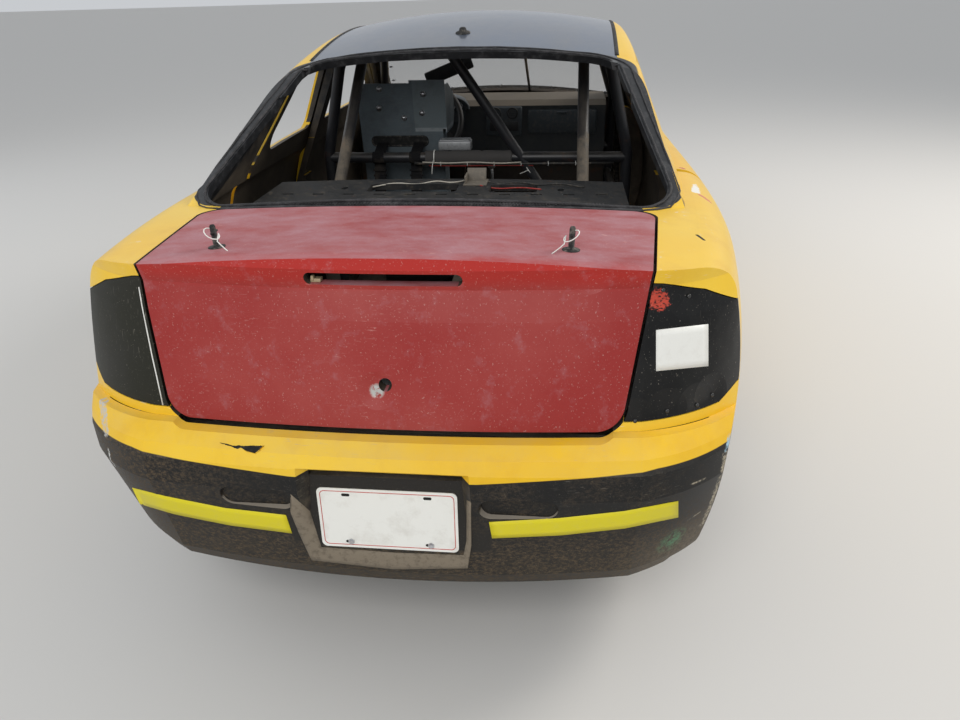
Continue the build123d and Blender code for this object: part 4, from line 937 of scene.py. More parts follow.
def cover_screws():
    """Round-headed screws along the right lamp cover's edges."""
    form = Form()
    for pixel in SCREWS_PX:
        form.turned(COVER_SCREW, *seen("rear_lamp_cover_right", pixel))
    form.piece("cover_screws", "screw_dull")


def lid_pins():
    """Two lid pins through scuff plates, each with a white tie looped through it and trailing to one side."""
    for (name, pixel), lean in zip(PIN_PX.items(), (1.0, -1.0)):
        place, normal = seen("trunk_lid", pixel)
        bar = about(place, (-0.014, 0.0, 0.034), (0.014, 0.0, 0.034))
        Form().turned(LID_PIN, place, normal).tube(bar, 0.0028, 8).piece(name, "black_rubber", "boot_lid")
        loop = [(-0.012 + 0.012 * math.cos(a), lean * 0.016 * math.sin(a), 0.034 + 0.010 * math.sin(a + 0.6))
                for a in spread(0.0, 5.5, 11)]
        tail = [(-0.018 - 0.016 * t, -lean * (0.006 + 0.034 * t), 0.031 - 0.0285 * t ** 0.7)
                for t in (0.25, 0.5, 0.75, 1.0)]
        tie = Form().tube(about(place, *loop), 0.0013, 6).tube(about(place, loop[-1], *tail), 0.0013, 6)
        tie.piece(name + "_tie", "white_tie", "boot_lid")


def lid_trim():
    """The clip in the lamp slot, and the white edge beside the left lamp cover."""
    foot, tongue = about(seen("trunk_lid", CLIP_PX)[0], (0.006, 0.0, 0.004), (0.0, 0.006, 0.010))
    clip = Form().block(foot, (0.018, 0.022, 0.008), 0.002).block(tongue, (0.010, 0.006, 0.010), 0.0015)
    clip.piece("slot_clip", "beige_clip", "boot_lid")
    Form().tube(places("rear_lamp_cover_left", EDGE_LINE_PX), 0.0016, 6).piece("cover_edge_left", "white_tie")


def bumper_tear():
    """A torn hole in the bumper's upper band, drawn as a black sheet of painted shade, its lower lip bent out.
    """
    # Painted shade: a black sheet laid on the bumper stands for the dark inside of the hole.
    laid("bumper_tear", "rear_bumper", (TEAR_TOP_PX, TEAR_BOTTOM_PX), "hole_dark", 44, 4,
        (0.0007, -0.0008), 0.55)
    foot = [seen("rear_bumper", pixel) for pixel in TEAR_BOTTOM_PX[5:]]
    edge = [(place + Vector((-0.0015, 0.0, 0.0022)), normal) for place, normal in foot]
    Form().sheet([foot, edge], (0.0016, 0.0)).piece("bumper_tear_lip", "yellow_flap")


def plate_tray():
    """Dusty bevel that runs down beside the plate and along below it."""
    rows = []
    for inner, outer in zip(strung(TRAY_INNER_PX, 10), strung(TRAY_OUTER_PX, 10)):
        row = []
        for share, rise in zip(spread(0.0, 1.0, 4), TRAY_RISE):
            place = seen("rear_bumper", inner.lerp(outer, share))[0] + REARWARD * rise
            row.append((Vector((max(place.x, BUMPER_REACH), place.y, place.z)), REARWARD))
        rows.append(row)
    Form().sheet(rows, (0.0, -0.008)).piece("plate_tray", "tray_soil")


def plate_details():
    """Red line inside the plate's edge, four slots drawn as thin black plates of painted shade, two of them with
    a bolt.
    """
    normal = Vector((-math.cos(PLATE_TILT), 0.0, math.sin(PLATE_TILT)))
    up = Vector((math.sin(PLATE_TILT), 0.0, math.cos(PLATE_TILT)))

    def on_plate(a, b, lift=0.0):
        return PLATE_PLACE + Vector((0.0, -a, 0.0)) + up * b + normal * (PLATE_THICK + lift)

    corners = rounded_corners(PLATE_LINE_X, PLATE_LINE_Z, 0.010, 6)
    Form().tube([on_plate(a, b) for a, b in [*corners, corners[0]]], 0.0009, 5).piece("plate_line",
        "red_line")
    slots, bolts = Form(), Form()
    for a in (-PLATE_HOLE_X, PLATE_HOLE_X):
        for b in (-PLATE_HOLE_Z, PLATE_HOLE_Z):
            # Painted shade: each slot is a thin black plate on the plate's face.
            rim = [on_plate(a + x, b + z, -0.0005) for x, z in rounded_corners(0.009, 0.0035, 0.0034, 5)]
            slots.plate(rim, normal * 0.0008)
        bolts.turned(PLATE_BOLT, on_plate(a + 0.003, -PLATE_HOLE_Z), normal, 6)
    slots.piece("plate_slots", "hole_dark", smooth=False)
    bolts.piece("plate_bolts", "screw_steel", smooth=False)


# Roof and windows

# Windows, as in the part: foot (x, z), run and rise of the slope, radius of the bulge, then the opening's
# low and high edges up the slope, its half widths there and its corners
REAR_WINDOW = ((GLASS_FOOT_X, GLASS_FOOT_Z), (GLASS_RUN, GLASS_RISE), 6.0,
    (0.036, 0.834, 0.650, 0.512, 0.095))
SCREEN = ((1.000, 0.972), (-0.795, 0.420), 3.6, (0.030, 0.845, 0.640, 0.530, 0.060))
WINDOW_NODES = ["tulip_panel", "roof_panel", "quarter_left", "quarter_right"]
SCREEN_NODES = ["windscreen", "roof_panel", "roof_rail_left", "roof_rail_right", "firewall", "fender_left",
                "fender_right"]
SEALANT_BEADS = {"sealant_inner": (0.010, 0.0042, 0.8), "sealant_outer": (0.036, 0.0030, 1.4)}
TEETH, TEETH_Y, TEETH_UP = 110, 0.46, 0.012
SCREEN_SCREW = [(10, -1), (10, 1.2), (6, 1.6), (5.2, 3.4), (2.2, 4.6), (0, 4.6)]
DITCH_REAR, DITCH_FRONT = (-0.812, 0.528), (0.190, 0.5535)
AERIAL_PX = (463, 33)
AERIAL = [(27, -1), (27, 2), (23, 5), (14, 8), (12, 16), (8, 19), (0, 20)]


def window_loop(window, outside, steps=14):
    """Points round a window's opening, on its glass plane, some way outside its edge: (up the slope, y)."""
    low, high, low_y, high_y, radius = window[3]
    low, high, low_y, high_y = low - outside, high + outside, low_y + outside, high_y + outside
    radius += outside
    corners = [Vector((low, -low_y)), Vector((low, low_y)), Vector((high, high_y)), Vector((high, -high_y))]
    points = []
    for before, corner, after in zip([corners[3], *corners], corners, [*corners[1:], corners[0]]):
        back, onward = (before - corner).normalized(), (after - corner).normalized()
        half = back.angle(onward) / 2
        cut = radius / math.tan(half)
        centre = corner + (back + onward).normalized() * radius / math.sin(half)
        start, end = corner + back * cut - centre, corner + onward * cut - centre
        points += [centre + start.lerp(end, share).normalized() * radius for share in spread(0.0, 1.0, 6)]
        points += spread(corner + onward * cut, after - onward * cut, steps)[1:-1]
    return points


def on_window(window, nodes, points):
    """Where points of a window's bulging surface fall on nodes near it: number, place, normal and way out."""
    (foot_x, foot_z), (run, rise), bulge, _ = window
    slope = Vector((run, 0.0, rise)).normalized()
    outwards = Vector((-rise, 0.0, run) if run > 0 else (rise, 0.0, -run)).normalized()
    made = []
    for i, (up_slope, y) in enumerate(points):
        place = Vector((foot_x, y, foot_z)) + slope * up_slope - outwards * (y * y / (2 * bulge))
        spot, normal = struck(nodes, place + outwards * 0.05, -outwards)
        if (spot - place).length < 0.03:
            made.append((i, spot, normal, outwards))
    return made


def window_sealant():
    """Two ragged beads of old sealant round the rear window and the toothed one below it."""
    for name, (outside, radius, rough) in SEALANT_BEADS.items():
        loop = window_loop(REAR_WINDOW, outside)
        run = []
        for i, place, normal, _ in on_window(REAR_WINDOW, WINDOW_NODES, [*loop, loop[0]]):
            wander = noise.noise(Vector((i * 0.7, outside * 90, 3.0)))
            run.append(place + normal * radius * (0.3 + 0.5 * wander * rough) + Vector((0.0,
                0.002 * wander, 0.0)))
        bead = Form().tube(run, radius, 6)
        for vertex in bead.mesh.verts:
            vertex.co += noise.noise_vector(vertex.co * 160.0) * radius * 0.45 * rough
        bead.piece(name, "sealant")
    teeth = Form()
    line = [(TEETH_UP + 0.10 * y * y, y) for y in spread(-TEETH_Y, TEETH_Y, TEETH - 1)]
    for i, place, _, _ in on_window(REAR_WINDOW, WINDOW_NODES, line):
        size = 1.0 + 0.5 * noise.noise(Vector((i * 0.9, 4.0, 2.0)))
        tooth = about(place, (-0.006 * size, 0.0015, 0.0), (0.0, 0.0, 0.0008), (0.007 * size, -0.0015, 0.002))
        teeth.tube(tooth, 0.0017 * size, 5)
    teeth.piece("sealant_teeth", "sealant")


def screen_edges():
    """Rubber bead round the windscreen and the screws along the plastic sheet's edge."""
    loop = window_loop(SCREEN, 0.004)
    run = [place + out * 0.0015 for _, place, _, out in on_window(SCREEN, SCREEN_NODES, [*loop, loop[0]])]
    Form().tube(run, 0.0065, 8).piece("screen_bead", "black_rubber")
    screws = Form()
    for _, place, normal, _ in on_window(SCREEN, "windscreen", window_loop(SCREEN, -0.024, 8)[::2]):
        screws.turned(SCREEN_SCREW, place, normal, 14)
    screws.piece("screen_screws", "screw_steel")


def roof_details():
    """Rubber strips in the roof's two ditches, and the stump of an aerial."""
    for name, sign in SIDES.items():
        nodes = ["roof_panel", f"roof_rail_{name}", f"quarter_{name}"]
        rows = []
        for x, y in zip(spread(DITCH_REAR[0], DITCH_FRONT[0], 28), spread(DITCH_REAR[1], DITCH_FRONT[1], 28)):
            row = []
            for offset, lift in ((-0.007, 0.0), (-0.0035, 0.002), (0.0035, 0.002), (0.007, 0.0)):
                place, normal = struck(nodes, (x, sign * (y + offset), 1.6), -UP)
                row.append((place + UP * lift, normal))
            rows.append(row)
        Form().sheet(rows, (0.0012, -0.002)).piece(f"roof_ditch_{name}", "black_rubber")
    Form().turned(AERIAL, *seen("roof_panel", AERIAL_PX), 28).piece("aerial_stump", "black_rubber")


# Cabin

# As in the part: main hoop, harness bar, seat and wheel
HOOP_X, HARNESS_Z, HARNESS_RADIUS = -0.470, 0.880, 0.021
SEAT_Y, BELT_SLOT_Z, CLUSTER_Y = 0.318, 0.928, 0.330
FOAM_LEFT_Y, FOAM_RIGHT_Y = 0.205, -0.152
DIAGONAL_TIE_PX = (531, 168)
SEAT_BOLTS_PX = [(379, 89), (379, 108), (404, 118), (423, 94), (422, 113)]
SEAT_BOLT = [(12.5, -1), (12.5, 1.4), (7.5, 1.6), (7.5, 4.5), (4.5, 6.2), (0, 6.6)]
# Rings of the instrument housing: x, height, and how far its outline is widened and raised
HOUSING = [(0.502, 0.932, 0.93, 0.88), (0.488, 0.930, 1.0, 1.0), (0.500, 0.930, 1.03, 1.03),
           (0.640, 0.930, 0.92, 0.92), (0.700, 0.930, 0.55, 0.55)]
# Dials: place in y and z, radius in millimetres
DIALS = [(0.400, 0.958, 34), (0.318, 0.962, 36), (0.238, 0.952, 26), (0.192, 0.944, 16)]
VENT = [(30, -4), (30, 3), (24, 4), (23, -2), (0, -2)]
MIRROR_CLAMP = [(26, -16), (27.5, -14), (27.5, 14), (26, 16)]
# Looms tied along the cage and floor: finish, radius, how far apart the ties, points on what carries them
LOOMS = {
    "loom_bar": ("wire_black", 0.0055, 0.11, [(-0.492, 0.250, 0.861), (-0.490, 0.120, 0.857),
        (-0.491, -0.020, 0.859),
                                              (-0.489, -0.180, 0.857), (-0.491, -0.330, 0.860), (-0.490,
                                                  -0.560, 0.860)]),
    "loom_bar_pale": ("wire_pale", 0.0028, 0.0, [(-0.499, 0.215, 0.867), (-0.500, 0.100, 0.862),
        (-0.498, 0.010, 0.868),
                                                 (-0.501, -0.100, 0.861), (-0.499, -0.190, 0.866)]),
    "loom_bar_red": ("wire_red", 0.0026, 0.0, [(-0.488, 0.190, 0.851), (-0.486, 0.060, 0.849),
        (-0.488, -0.090, 0.852),
                                               (-0.487, -0.240, 0.850)]),
    "loom_floor": ("wire_black", 0.0065, 0.18, [(-0.62, 0.075, 0.243), (-0.30, 0.165, 0.243),
        (0.05, 0.172, 0.243),
                                                (0.42, 0.165, 0.243)])}
SHELF_WIRES_PX = {
    "shelf_wire_1": ("wire_pale", [(470, 180), (452, 184), (436, 181), (418, 185), (396, 183), (372, 187)]),
    "shelf_wire_2": ("wire_black", [(484, 181), (500, 185), (516, 182), (538, 186), (560, 184), (584, 188)]),
    "shelf_wire_3": ("wire_red", [(480, 186), (497, 189), (520, 187), (541, 190)])}
BRACKET_PX = (476, 183)
GAITER = [(60, -1), (60, 6), (50, 10), (52, 18), (38, 26), (40, 34), (24, 44), (12, 56), (0, 56)]
KNOB = [(8, -20), (18, -12), (24, 4), (22, 18), (12, 28), (0, 30)]
BOX_SCREW = [(4, 0), (4, 2), (0, 3)]


def harness():
    """Shoulder straps round the harness bar and on to the seat back's slot, each with a tail behind the bar."""
    for name, y in (("belt_left", SEAT_Y + 0.085), ("belt_right", SEAT_Y - 0.070)):
        bar = Vector((HOOP_X, y, HARNESS_Z))
        radius = HARNESS_RADIUS + 0.0016
        wrap = ellipse(bar, (radius, 0, 0), (0, 0, radius), spread(math.radians(300), math.radians(40), 12))
        tail = about(wrap[0], *((0.002 - 0.006 * k + 0.004 * math.sin(1.3 * k), 0.0,
            -0.022 * k) for k in range(8)))
        belt = Form().ribbon([*wrap, (-0.385, y, HARNESS_Z + 0.035), (-0.352, y, BELT_SLOT_Z)], 0.047, 0.0022)
        belt.ribbon(tail, 0.047, 0.0022)
        for drop in (0.030, 0.052):
            belt.block(bar - Vector((0.002, 0.0, HARNESS_RADIUS + drop)), (0.004, 0.056, 0.009), 0.0012)
        belt.piece(name, "webbing", smooth=False)


def bar_foam():
    """Split foam round the harness bar, a tie near its end, and a tie on the hoop's diagonal."""
    foam = Form().tube([(HOOP_X, y, HARNESS_Z) for y in spread(FOAM_LEFT_Y, FOAM_RIGHT_Y, 40)], 0.0275, 20)
    for vertex in foam.mesh.verts:
        vertex.co += noise.noise_vector(vertex.co * 22.0) * 0.0028
        for crack_y in (FOAM_LEFT_Y - 0.095, FOAM_LEFT_Y - 0.235):
            vertex.co.z -= 0.004 * max(0.0, 1.0 - abs(vertex.co.y - crack_y) / 0.008)
    foam.piece("bar_foam", "grey_foam")
    whole = spread(0.0, FULL_TURN, 24)
    ring = ellipse((HOOP_X, FOAM_LEFT_Y - 0.038, HARNESS_Z), (0.0295, 0, 0), (0, 0, 0.0295), whole)
    tail = about(ring[12], (0, 0, 0), (-0.028, 0.003, -0.022), (-0.040, 0.004, -0.052))
    Form().tube(ring, 0.0022, 6).tube(tail, 0.0016, 6).piece("bar_tie", "white_tie")
    place, normal = seen("main_hoop", DIAGONAL_TIE_PX)
    ring = ellipse(place - normal * 0.02, (0.0225, 0, 0), (0, 0.013, 0.018), whole)
    tail = about(ring[12], (0, 0, 0), (-0.012, 0.035, -0.012))
    Form().tube(ring, 0.0016, 6).tube(tail, 0.0012, 6).piece("diagonal_tie", "white_tie")


def seat_details():
    """Bolts with washers through the seat's plates, and the trimmed slot that the straps pass through, drawn as
    a dark plate of painted shade.
    """
    bolts = Form()
    for pixel in SEAT_BOLTS_PX:
        bolts.turned(SEAT_BOLT, *seen("seat", pixel), 12)
    bolts.piece("seat_bolts", "screw_steel")
    rim = []
    for a, b in rounded_corners(0.120, 0.020, 0.018, 5):
        place, normal = struck("seat", (-0.6, SEAT_Y + 0.012 + a, BELT_SLOT_Z + b), -REARWARD)
        rim.append(place + normal * 0.0008)
    depth = Vector((0.002, 0.0, 0.0))
    # Painted shade: a dark plate on the seat back stands for the slot's opening.
    Form().plate([point + depth for point in rim], -depth).piece("seat_slot", "hole_dark", smooth=False)
    Form().tube([*rim, rim[0]], 0.0035, 8).piece("seat_slot_trim", "black_rubber")


def dash_details():
    """Instrument housing with dials, centre panel with two vents, and the glovebox's lid."""
    outline = [(0.19 * math.cos(a), 0.072 * max(0.0, math.sin(a)) ** 0.8) for a in spread(0.0, math.pi, 18)]
    housing = Form()
    face, *_ = housing.quads([[(x, CLUSTER_Y + a * wide, z + b * high) for a, b in outline]
                              for x, z, wide, high in HOUSING])
    foot = [housing.mesh.verts.new((0.515, CLUSTER_Y + a, 0.860)) for a in (-0.165, 0.165)]
    housing.mesh.faces.new(face)
    housing.mesh.faces.new((face[0], face[-1], *foot))
    housing.outward().piece("instrument_housing", "dash_grey")
    faces, rings = Form(), Form()
    for y, z, r in DIALS:
        place, reach = Vector((0.503, y, z)), r * MM
        faces.turned([(r, -4), (r, 2), (0, 2)], place, REARWARD, 24)
        rings.turned([(r, 0), (r + 4, 2), (r + 3, 7), (r - 1, 6.5), (r - 2, 1)], place, REARWARD, 28)
        for angle in spread(math.radians(-40), math.radians(220), 8):
            across, up = reach * math.cos(angle), reach * math.sin(angle)
            rings.tube(about(place, *((-0.0025, share * across, share * up) for share in (0.78, 0.94))),
                0.0007, 4)
        rings.tube(about(place, (-0.003, 0.0, 0.0), (-0.003, 0.55 * reach, 0.45 * reach)), 0.0009, 4)
    faces.piece("dial_faces", "dial_face")
    rings.piece("dial_rings", "dial_ring")
    Form().block((0.517, -0.045, 0.862), (0.022, 0.190, 0.150), 0.008).piece("centre_panel", "dash_grey")
    vents = Form()
    for y in (0.000, -0.090):
        vents.turned(VENT, (0.506, y, 0.905), REARWARD, 24)
        for z in spread(0.887, 0.923, 4):
            vents.block((0.504, y, z), (0.004, 0.042, 0.0022), 0.0008)
    vents.block((0.505, -0.045, 0.838), (0.006, 0.150, 0.046), 0.002).piece("centre_vents", "black_plastic")
    lid = Form().block((0.519, -0.350, 0.858), (0.012, 0.360, 0.125), 0.010)
    lid.block((0.511, -0.350, 0.905), (0.010, 0.050, 0.014), 0.004).piece("glovebox_lid", "dash_grey")


def mirror():
    """Wide interior mirror on a stalk from the cage's header bar."""
    turn = turned_by(14, "Z") @ turned_by(-8, "Y") @ turned_by(-20, "X")
    Form().block((0.115, 0.180, 1.158), (0.022, 0.230, 0.062), 0.009, turn).piece("mirror", "black_plastic")
    stalk = Form().tube([(0.122, 0.100, 1.165), (0.135, 0.096, 1.215), (0.148, 0.092, 1.270)], 0.009)
    stalk.turned(MIRROR_CLAMP, (0.150, 0.092, 1.290), (0, 1, 0)).piece("mirror_stalk", "black_plastic")


def cabin_wiring():
    """Looms tied along the harness bar and the floor, wires lying on the shelf, and the small bracket."""
    ties = Form()
    for name, (finish, radius, every, points) in LOOMS.items():
        run = smooth_run(points)
        Form().tube(run, radius, 8).piece(name, finish)
        length = sum((b - a).length for a, b in zip(run, run[1:]))
        for k in range(1, int(length / every) if every else 0):
            tie = [(0.0085 * math.cos(a), 0.001 * math.cos(3 * a), 0.0085 * math.sin(a))
                   for a in spread(0.0, FULL_TURN, 12)]
            ties.tube(about(along(run, k * every / length), *tie), 0.0013, 6)
    ties.piece("loom_ties", "white_tie")
    for name, (finish, line) in SHELF_WIRES_PX.items():
        hits = [seen("package_shelf", pixel) for pixel in line]
        Form().tube(smooth_run([place + normal * 0.0022 for place, normal in hits]), 0.0022, 6).piece(name,
            finish)
    foot, fin, side = about(seen("package_shelf", BRACKET_PX)[0], (0, 0, 0.002), (0.030, 0, 0.020),
        (0, 0.030, 0.014))
    bracket = Form().block(foot, (0.075, 0.072, 0.005), 0.0015)
    bracket.block(fin, (0.005, 0.060, 0.040), 0.0015, turned_by(18, "Y"))
    bracket.block(side, (0.060, 0.005, 0.026), 0.0015).piece("shelf_bracket", "shelf_metal")


def floor_controls():
    """Gear lever with its gaiter, three pedals on their arms, and the box behind the seat."""
    base = Vector((0.30, 0.0, 0.360))
    Form().turned(GAITER, base, UP, 24).piece("gear_gaiter", "black_rubber")
    *run, top = about(base, (0, 0, 0.04), (-0.01, 0, 0.20), (-0.06, 0, 0.33), (-0.062, 0, 0.335))
    Form().tube(smooth_run(run), 0.007).turned(KNOB, top, (-0.35, 0, 1), 18).piece("gear_lever", "alloy_worn")
    pedals, tilt = Form(), turned_by(-20, "Y")
    for y, width in ((0.23, 0.046), (0.33, 0.058), (0.43, 0.058)):
        pedals.tube(smooth_run([(0.975, y, 0.56), (0.93, y, 0.52), (0.885, y, 0.40)], 4), 0.007, 8)
        pedals.block((0.880, y, 0.395), (0.010, width, 0.075), 0.003, tilt)
        for k in range(-2, 3):
            pedals.block((0.8745 - 0.0045 * k, y, 0.397 + 0.0125 * k), (0.004, 0.8 * width, 0.004), 0.001,
                tilt)
    pedals.piece("pedals", "nut_steel")
    box = Form().block((-0.432, 0.085, 0.924), (0.058, 0.135, 0.038), 0.005)
    box.block((-0.432, 0.085, 0.945), (0.050, 0.125, 0.006), 0.0025)
    for y in (0.035, 0.135):
        box.block((-0.452, y, 0.900), (0.050, 0.018, 0.004), 0.001).turned(BOX_SCREW, (-0.432, y, 0.948),
            UP, 8)
    box.piece("relay_box", "alloy_worn")


# Front, doors, engine bay and boot

LAMP_SCREWS = [(0.43, 0.655), (0.43, 0.735), (0.52, 0.658), (0.62, 0.680), (0.62, 0.740), (0.69, 0.690),
    (0.69, 0.728)]
LAMP_SCREW = [(7.5, -1), (7.5, 1.2), (4.5, 3), (1.8, 3.6), (0, 3.2)]
# Intakes: x, near and far side, low and high edge, width of the mesh
INTAKES = [(2.243, 0.018, 0.288, 0.556, 0.636, 0.020), (2.228, 0.018, 0.408, 0.300, 0.444, 0.026)]
BONNET_PIN = [(28, -1), (28, 1), (22, 2.2), (7.5, 3), (7.5, 22), (5.5, 26), (0, 27)]
HAIRPIN = [(-0.020, 0.0), (0.012, 0.0), (0.030, 0.002), (0.036, 0.008), (0.030, 0.013), (0.012, 0.009),
    (0.0, 0.0095),
           (-0.012, 0.008), (-0.020, 0.013)]
HANDLE_X, HANDLE_Z = {"front": -0.285, "rear": -0.945}, 0.842
LOCK = [(9.5, -1), (9.5, 3), (8, 4), (0, 4)]
EXHAUST_LIP = [(24, 0), (26.5, 0), (28.5, 4), (28.5, 10), (26.5, 12.5), (24, 11.5), (24, 0)]
OIL_CAP = [(30, 0), (30, 12), (24, 16), (24, 22), (0, 24)]
VALVE_COVER_BOLT = [(7.5, -1), (7.5, 2), (5.5, 2.5), (5.5, 7), (0, 7.5)]
# Pulleys: place in y and z, radius in millimetres
PULLEYS = [(-0.08, 0.36, 62), (0.13, 0.62, 36), (-0.17, 0.66, 46)]
HOSE = [(1.650, 0.22, 0.745), (1.74, 0.225, 0.765), (1.90, 0.25, 0.750), (2.00, 0.26, 0.705),
    (2.055, 0.26, 0.690)]
HOSE_CLIP = [(19, -6), (21.2, -6), (21.2, 6), (19, 6)]
FUEL_CAP_PLACE = Vector((-1.72, 0.10, 0.64))
FUEL_CAP = [(75, -1), (75, 6), (55, 8), (52, 30), (46, 36), (0, 38)]
FUEL_BOLT = [(4, 0), (4, 4), (0, 4.5)]


def lamp_surface(y, z):
    """How far forward the nose's surface lies beside the bonnet's front corners."""
    past = max(0.0, y - 0.53)
    return 2.150 + 0.16 * max(0.0, 0.53 - y) - 0.42 * past - 2.1 * past * past - 0.565 * (z - 0.70)


def front_lamps():
    """The folded tab of each lamp cover below the bonnet's corner, and the cover's screws."""
    for name, sign in SIDES.items():
        normal = Vector((1.0, 0.45 * sign, 0.5)).normalized()
        rows = [[(Vector((lamp_surface(y, z) - 0.003, sign * y, z)), normal) for z in spread(0.690, 0.764, 6)]
                for y in spread(0.485, 0.625, 12)]
        Form().sheet(rows, (0.0, -0.003)).piece(f"front_lamp_tab_{name}", "lamp_filler")
        screws = Form()
        for y, z in LAMP_SCREWS:
            screws.turned(LAMP_SCREW, *struck(f"front_lamp_cover_{name}", (2.6, sign * y, z), REARWARD), 14)
        screws.piece(f"front_lamp_screws_{name}", "screw_steel")


def intake_mesh():
    """Diamond mesh behind each of the front bumper's four intakes."""
    for name, sign in SIDES.items():
        mesh = Form()
        for x, near, far, low, high, step in INTAKES:
            reach = high - low
            for k in range(int((far - near + reach) / step) + 1):
                start, end = near - reach + k * step, near + k * step
                foot = (max(near, start), low + max(0.0, near - start))
                head = (min(far, end), high - max(0.0, end - far))
                if foot[0] < head[0] and foot[1] < high and head[1] > low:
                    for flip, rise in ((0.0, 1), (low + high, -1)):
                        wire = [(x - 0.16 * y * y, sign * y, flip + rise * z) for y, z in (foot, head)]
                        mesh.tube(wire, 0.0014, 5)
        mesh.piece(f"intake_mesh_{name}", "mesh_steel")


def hood_pins():
    """Two bonnet pins through scuff plates, with their clips."""
    for name, sign in SIDES.items():
        place, normal = struck("hood", (2.02, sign * 0.43, 2.0), -UP)
        Form().turned(BONNET_PIN, place, normal, 24).piece(f"bonnet_pin_{name}", "alloy_worn", "bonnet")
        hairpin = about(place, *((a, sign * b, 0.014 + 0.2 * a) for a, b in HAIRPIN))
        Form().tube(smooth_run(hairpin, 4), 0.0014, 6).piece(f"bonnet_clip_{name}", "screw_steel", "bonnet")


def door_handles():
    """Flap handles in their cups, and a lock barrel on each front door."""
    for name, sign in SIDES.items():
        turn = turned_by(-14 * sign, "X")
        for door, x in HANDLE_X.items():
            node = f"door_{door}_{name}"

            def on_door(a, b):
                return struck(node, (x + a, sign * 2.0, HANDLE_Z + b), (0, -sign, 0))

            rim = [on_door(a, b) for a, b in rounded_corners(0.078, 0.026, 0.020, 6)]
            middle = on_door(0.0, 0.0)[0]
            cup = Form().tube([point + normal * 0.0005 for point, normal in [*rim, rim[0]]], 0.003, 6)
            cup.block(middle - Vector((0, sign * 0.001, 0)), (0.150, 0.006, 0.046), 0.0028, turn)
            cup.piece(f"handle_cup_{door}_{name}", "black_plastic", node)
            flap = Form().block(middle + Vector((0.004, sign * 0.009, 0.007)), (0.126, 0.010, 0.024),
                0.0045, turn)
            if door == "front":
                flap.turned(LOCK, *on_door(-0.100, 0.0), 18)
            flap.piece(f"handle_flap_{door}_{name}", "handle_yellow", node)


def exhaust_tip():
    """The rolled lip of the exhaust."""
    Form().turned(EXHAUST_LIP, (-2.081, -0.26, 0.25), REARWARD, 28).piece("exhaust_tip", "nut_steel")


def engine_dressing():
    """Valve cover with its cap and bolts, inlet pipes, front pulleys and the radiator's hose."""
    cover = Form().block((1.46, 0.0, 0.806), (0.170, 0.500, 0.036), 0.010)
    bolts, pipes, pulleys = Form(), Form(), Form()
    for k in range(-3, 4):
        cover.block((1.46, 0.066 * k, 0.826), (0.130, 0.014, 0.008), 0.003)
        for x in (1.383, 1.537):
            bolts.turned(VALVE_COVER_BOLT, (x, 0.078 * k, 0.823), UP, 6)
    cover.turned(OIL_CAP, (1.50, 0.165, 0.823), UP).piece("valve_cover", "engine_iron")
    bolts.piece("valve_cover_bolts", "screw_steel", smooth=False)
    for y in spread(-0.165, 0.165, 3):
        run = [(1.385, y, 0.800), (1.33, y, 0.812), (1.27, y, 0.812), (1.215, 0.6 * y, 0.800)]
        pipes.tube(smooth_run(run, 6), 0.021, 12)
    pipes.block((1.20, 0.0, 0.800), (0.075, 0.360, 0.056), 0.020).piece("inlet_pipes", "alloy_worn")
    for y, z, r in PULLEYS:
        profile = [(r, 0), (r, 3), (r - 6, 6), (r - 6, 18), (r, 21), (r, 24), (0.4 * r, 20), (0, 20)]
        pulleys.turned(profile, (1.659, y, z), -REARWARD, 28)
    pulleys.piece("pulleys", "nut_steel")
    hose = Form().tube(smooth_run(HOSE, 6), 0.019, 14)
    hose.turned(HOSE_CLIP, (1.672, 0.222, 0.7495), (1, 0, 0.1)).turned(HOSE_CLIP, (2.036, 0.26, 0.694),
        (1, 0, -0.3))
    hose.piece("radiator_hose", "black_rubber")


def wheel_house_edges():
    """Sheet that closes each rear wheel house out to the quarter's skin."""
    for name, sign in SIDES.items():
        axle = [Vector((AXLE_X["rear"], sign * y, AXLE_Z)) for y in (0.733, 0.760, 0.790, 0.818)]
        rows = [[(place + out * WHEEL_HOUSE_RADIUS, out) for place in axle]
                for out in ellipse((0, 0, 0), (1, 0, 0), UP, spread(math.radians(6), math.radians(174), 40))]
        edge = Form().sheet(rows, (0.0015, -0.0015))
        edge.quads([[place - out * 0.0015 for place, out in row] for row in rows])
        bmesh.ops.remove_doubles(edge.mesh, verts=edge.mesh.verts, dist=1e-6)
        edge.outward().piece(f"wheel_house_edge_{name}", "hole_dark")


def boot_details():
    """Filler cap and hold-down straps of the fuel cell."""
    cap = Form().turned(FUEL_CAP, FUEL_CAP_PLACE, UP, 28)
    for place in ellipse(FUEL_CAP_PLACE + UP * 0.006, (0.065, 0, 0), (0, 0.065, 0),
            spread(0.0, FULL_TURN, 12)[:-1]):
        cap.turned(FUEL_BOLT, place, UP, 6)
    cap.piece("fuel_cap", "alloy_worn")
    straps = Form()
    for y in (-0.17, 0.21):
        run = [(-1.982, y, 0.425), (-1.982, y, 0.6415), (-1.518, y, 0.6415), (-1.518, y, 0.425)]
        straps.ribbon(run, 0.032, 0.0025)
    straps.piece("fuel_straps", "nut_steel", smooth=False)


# Wheels

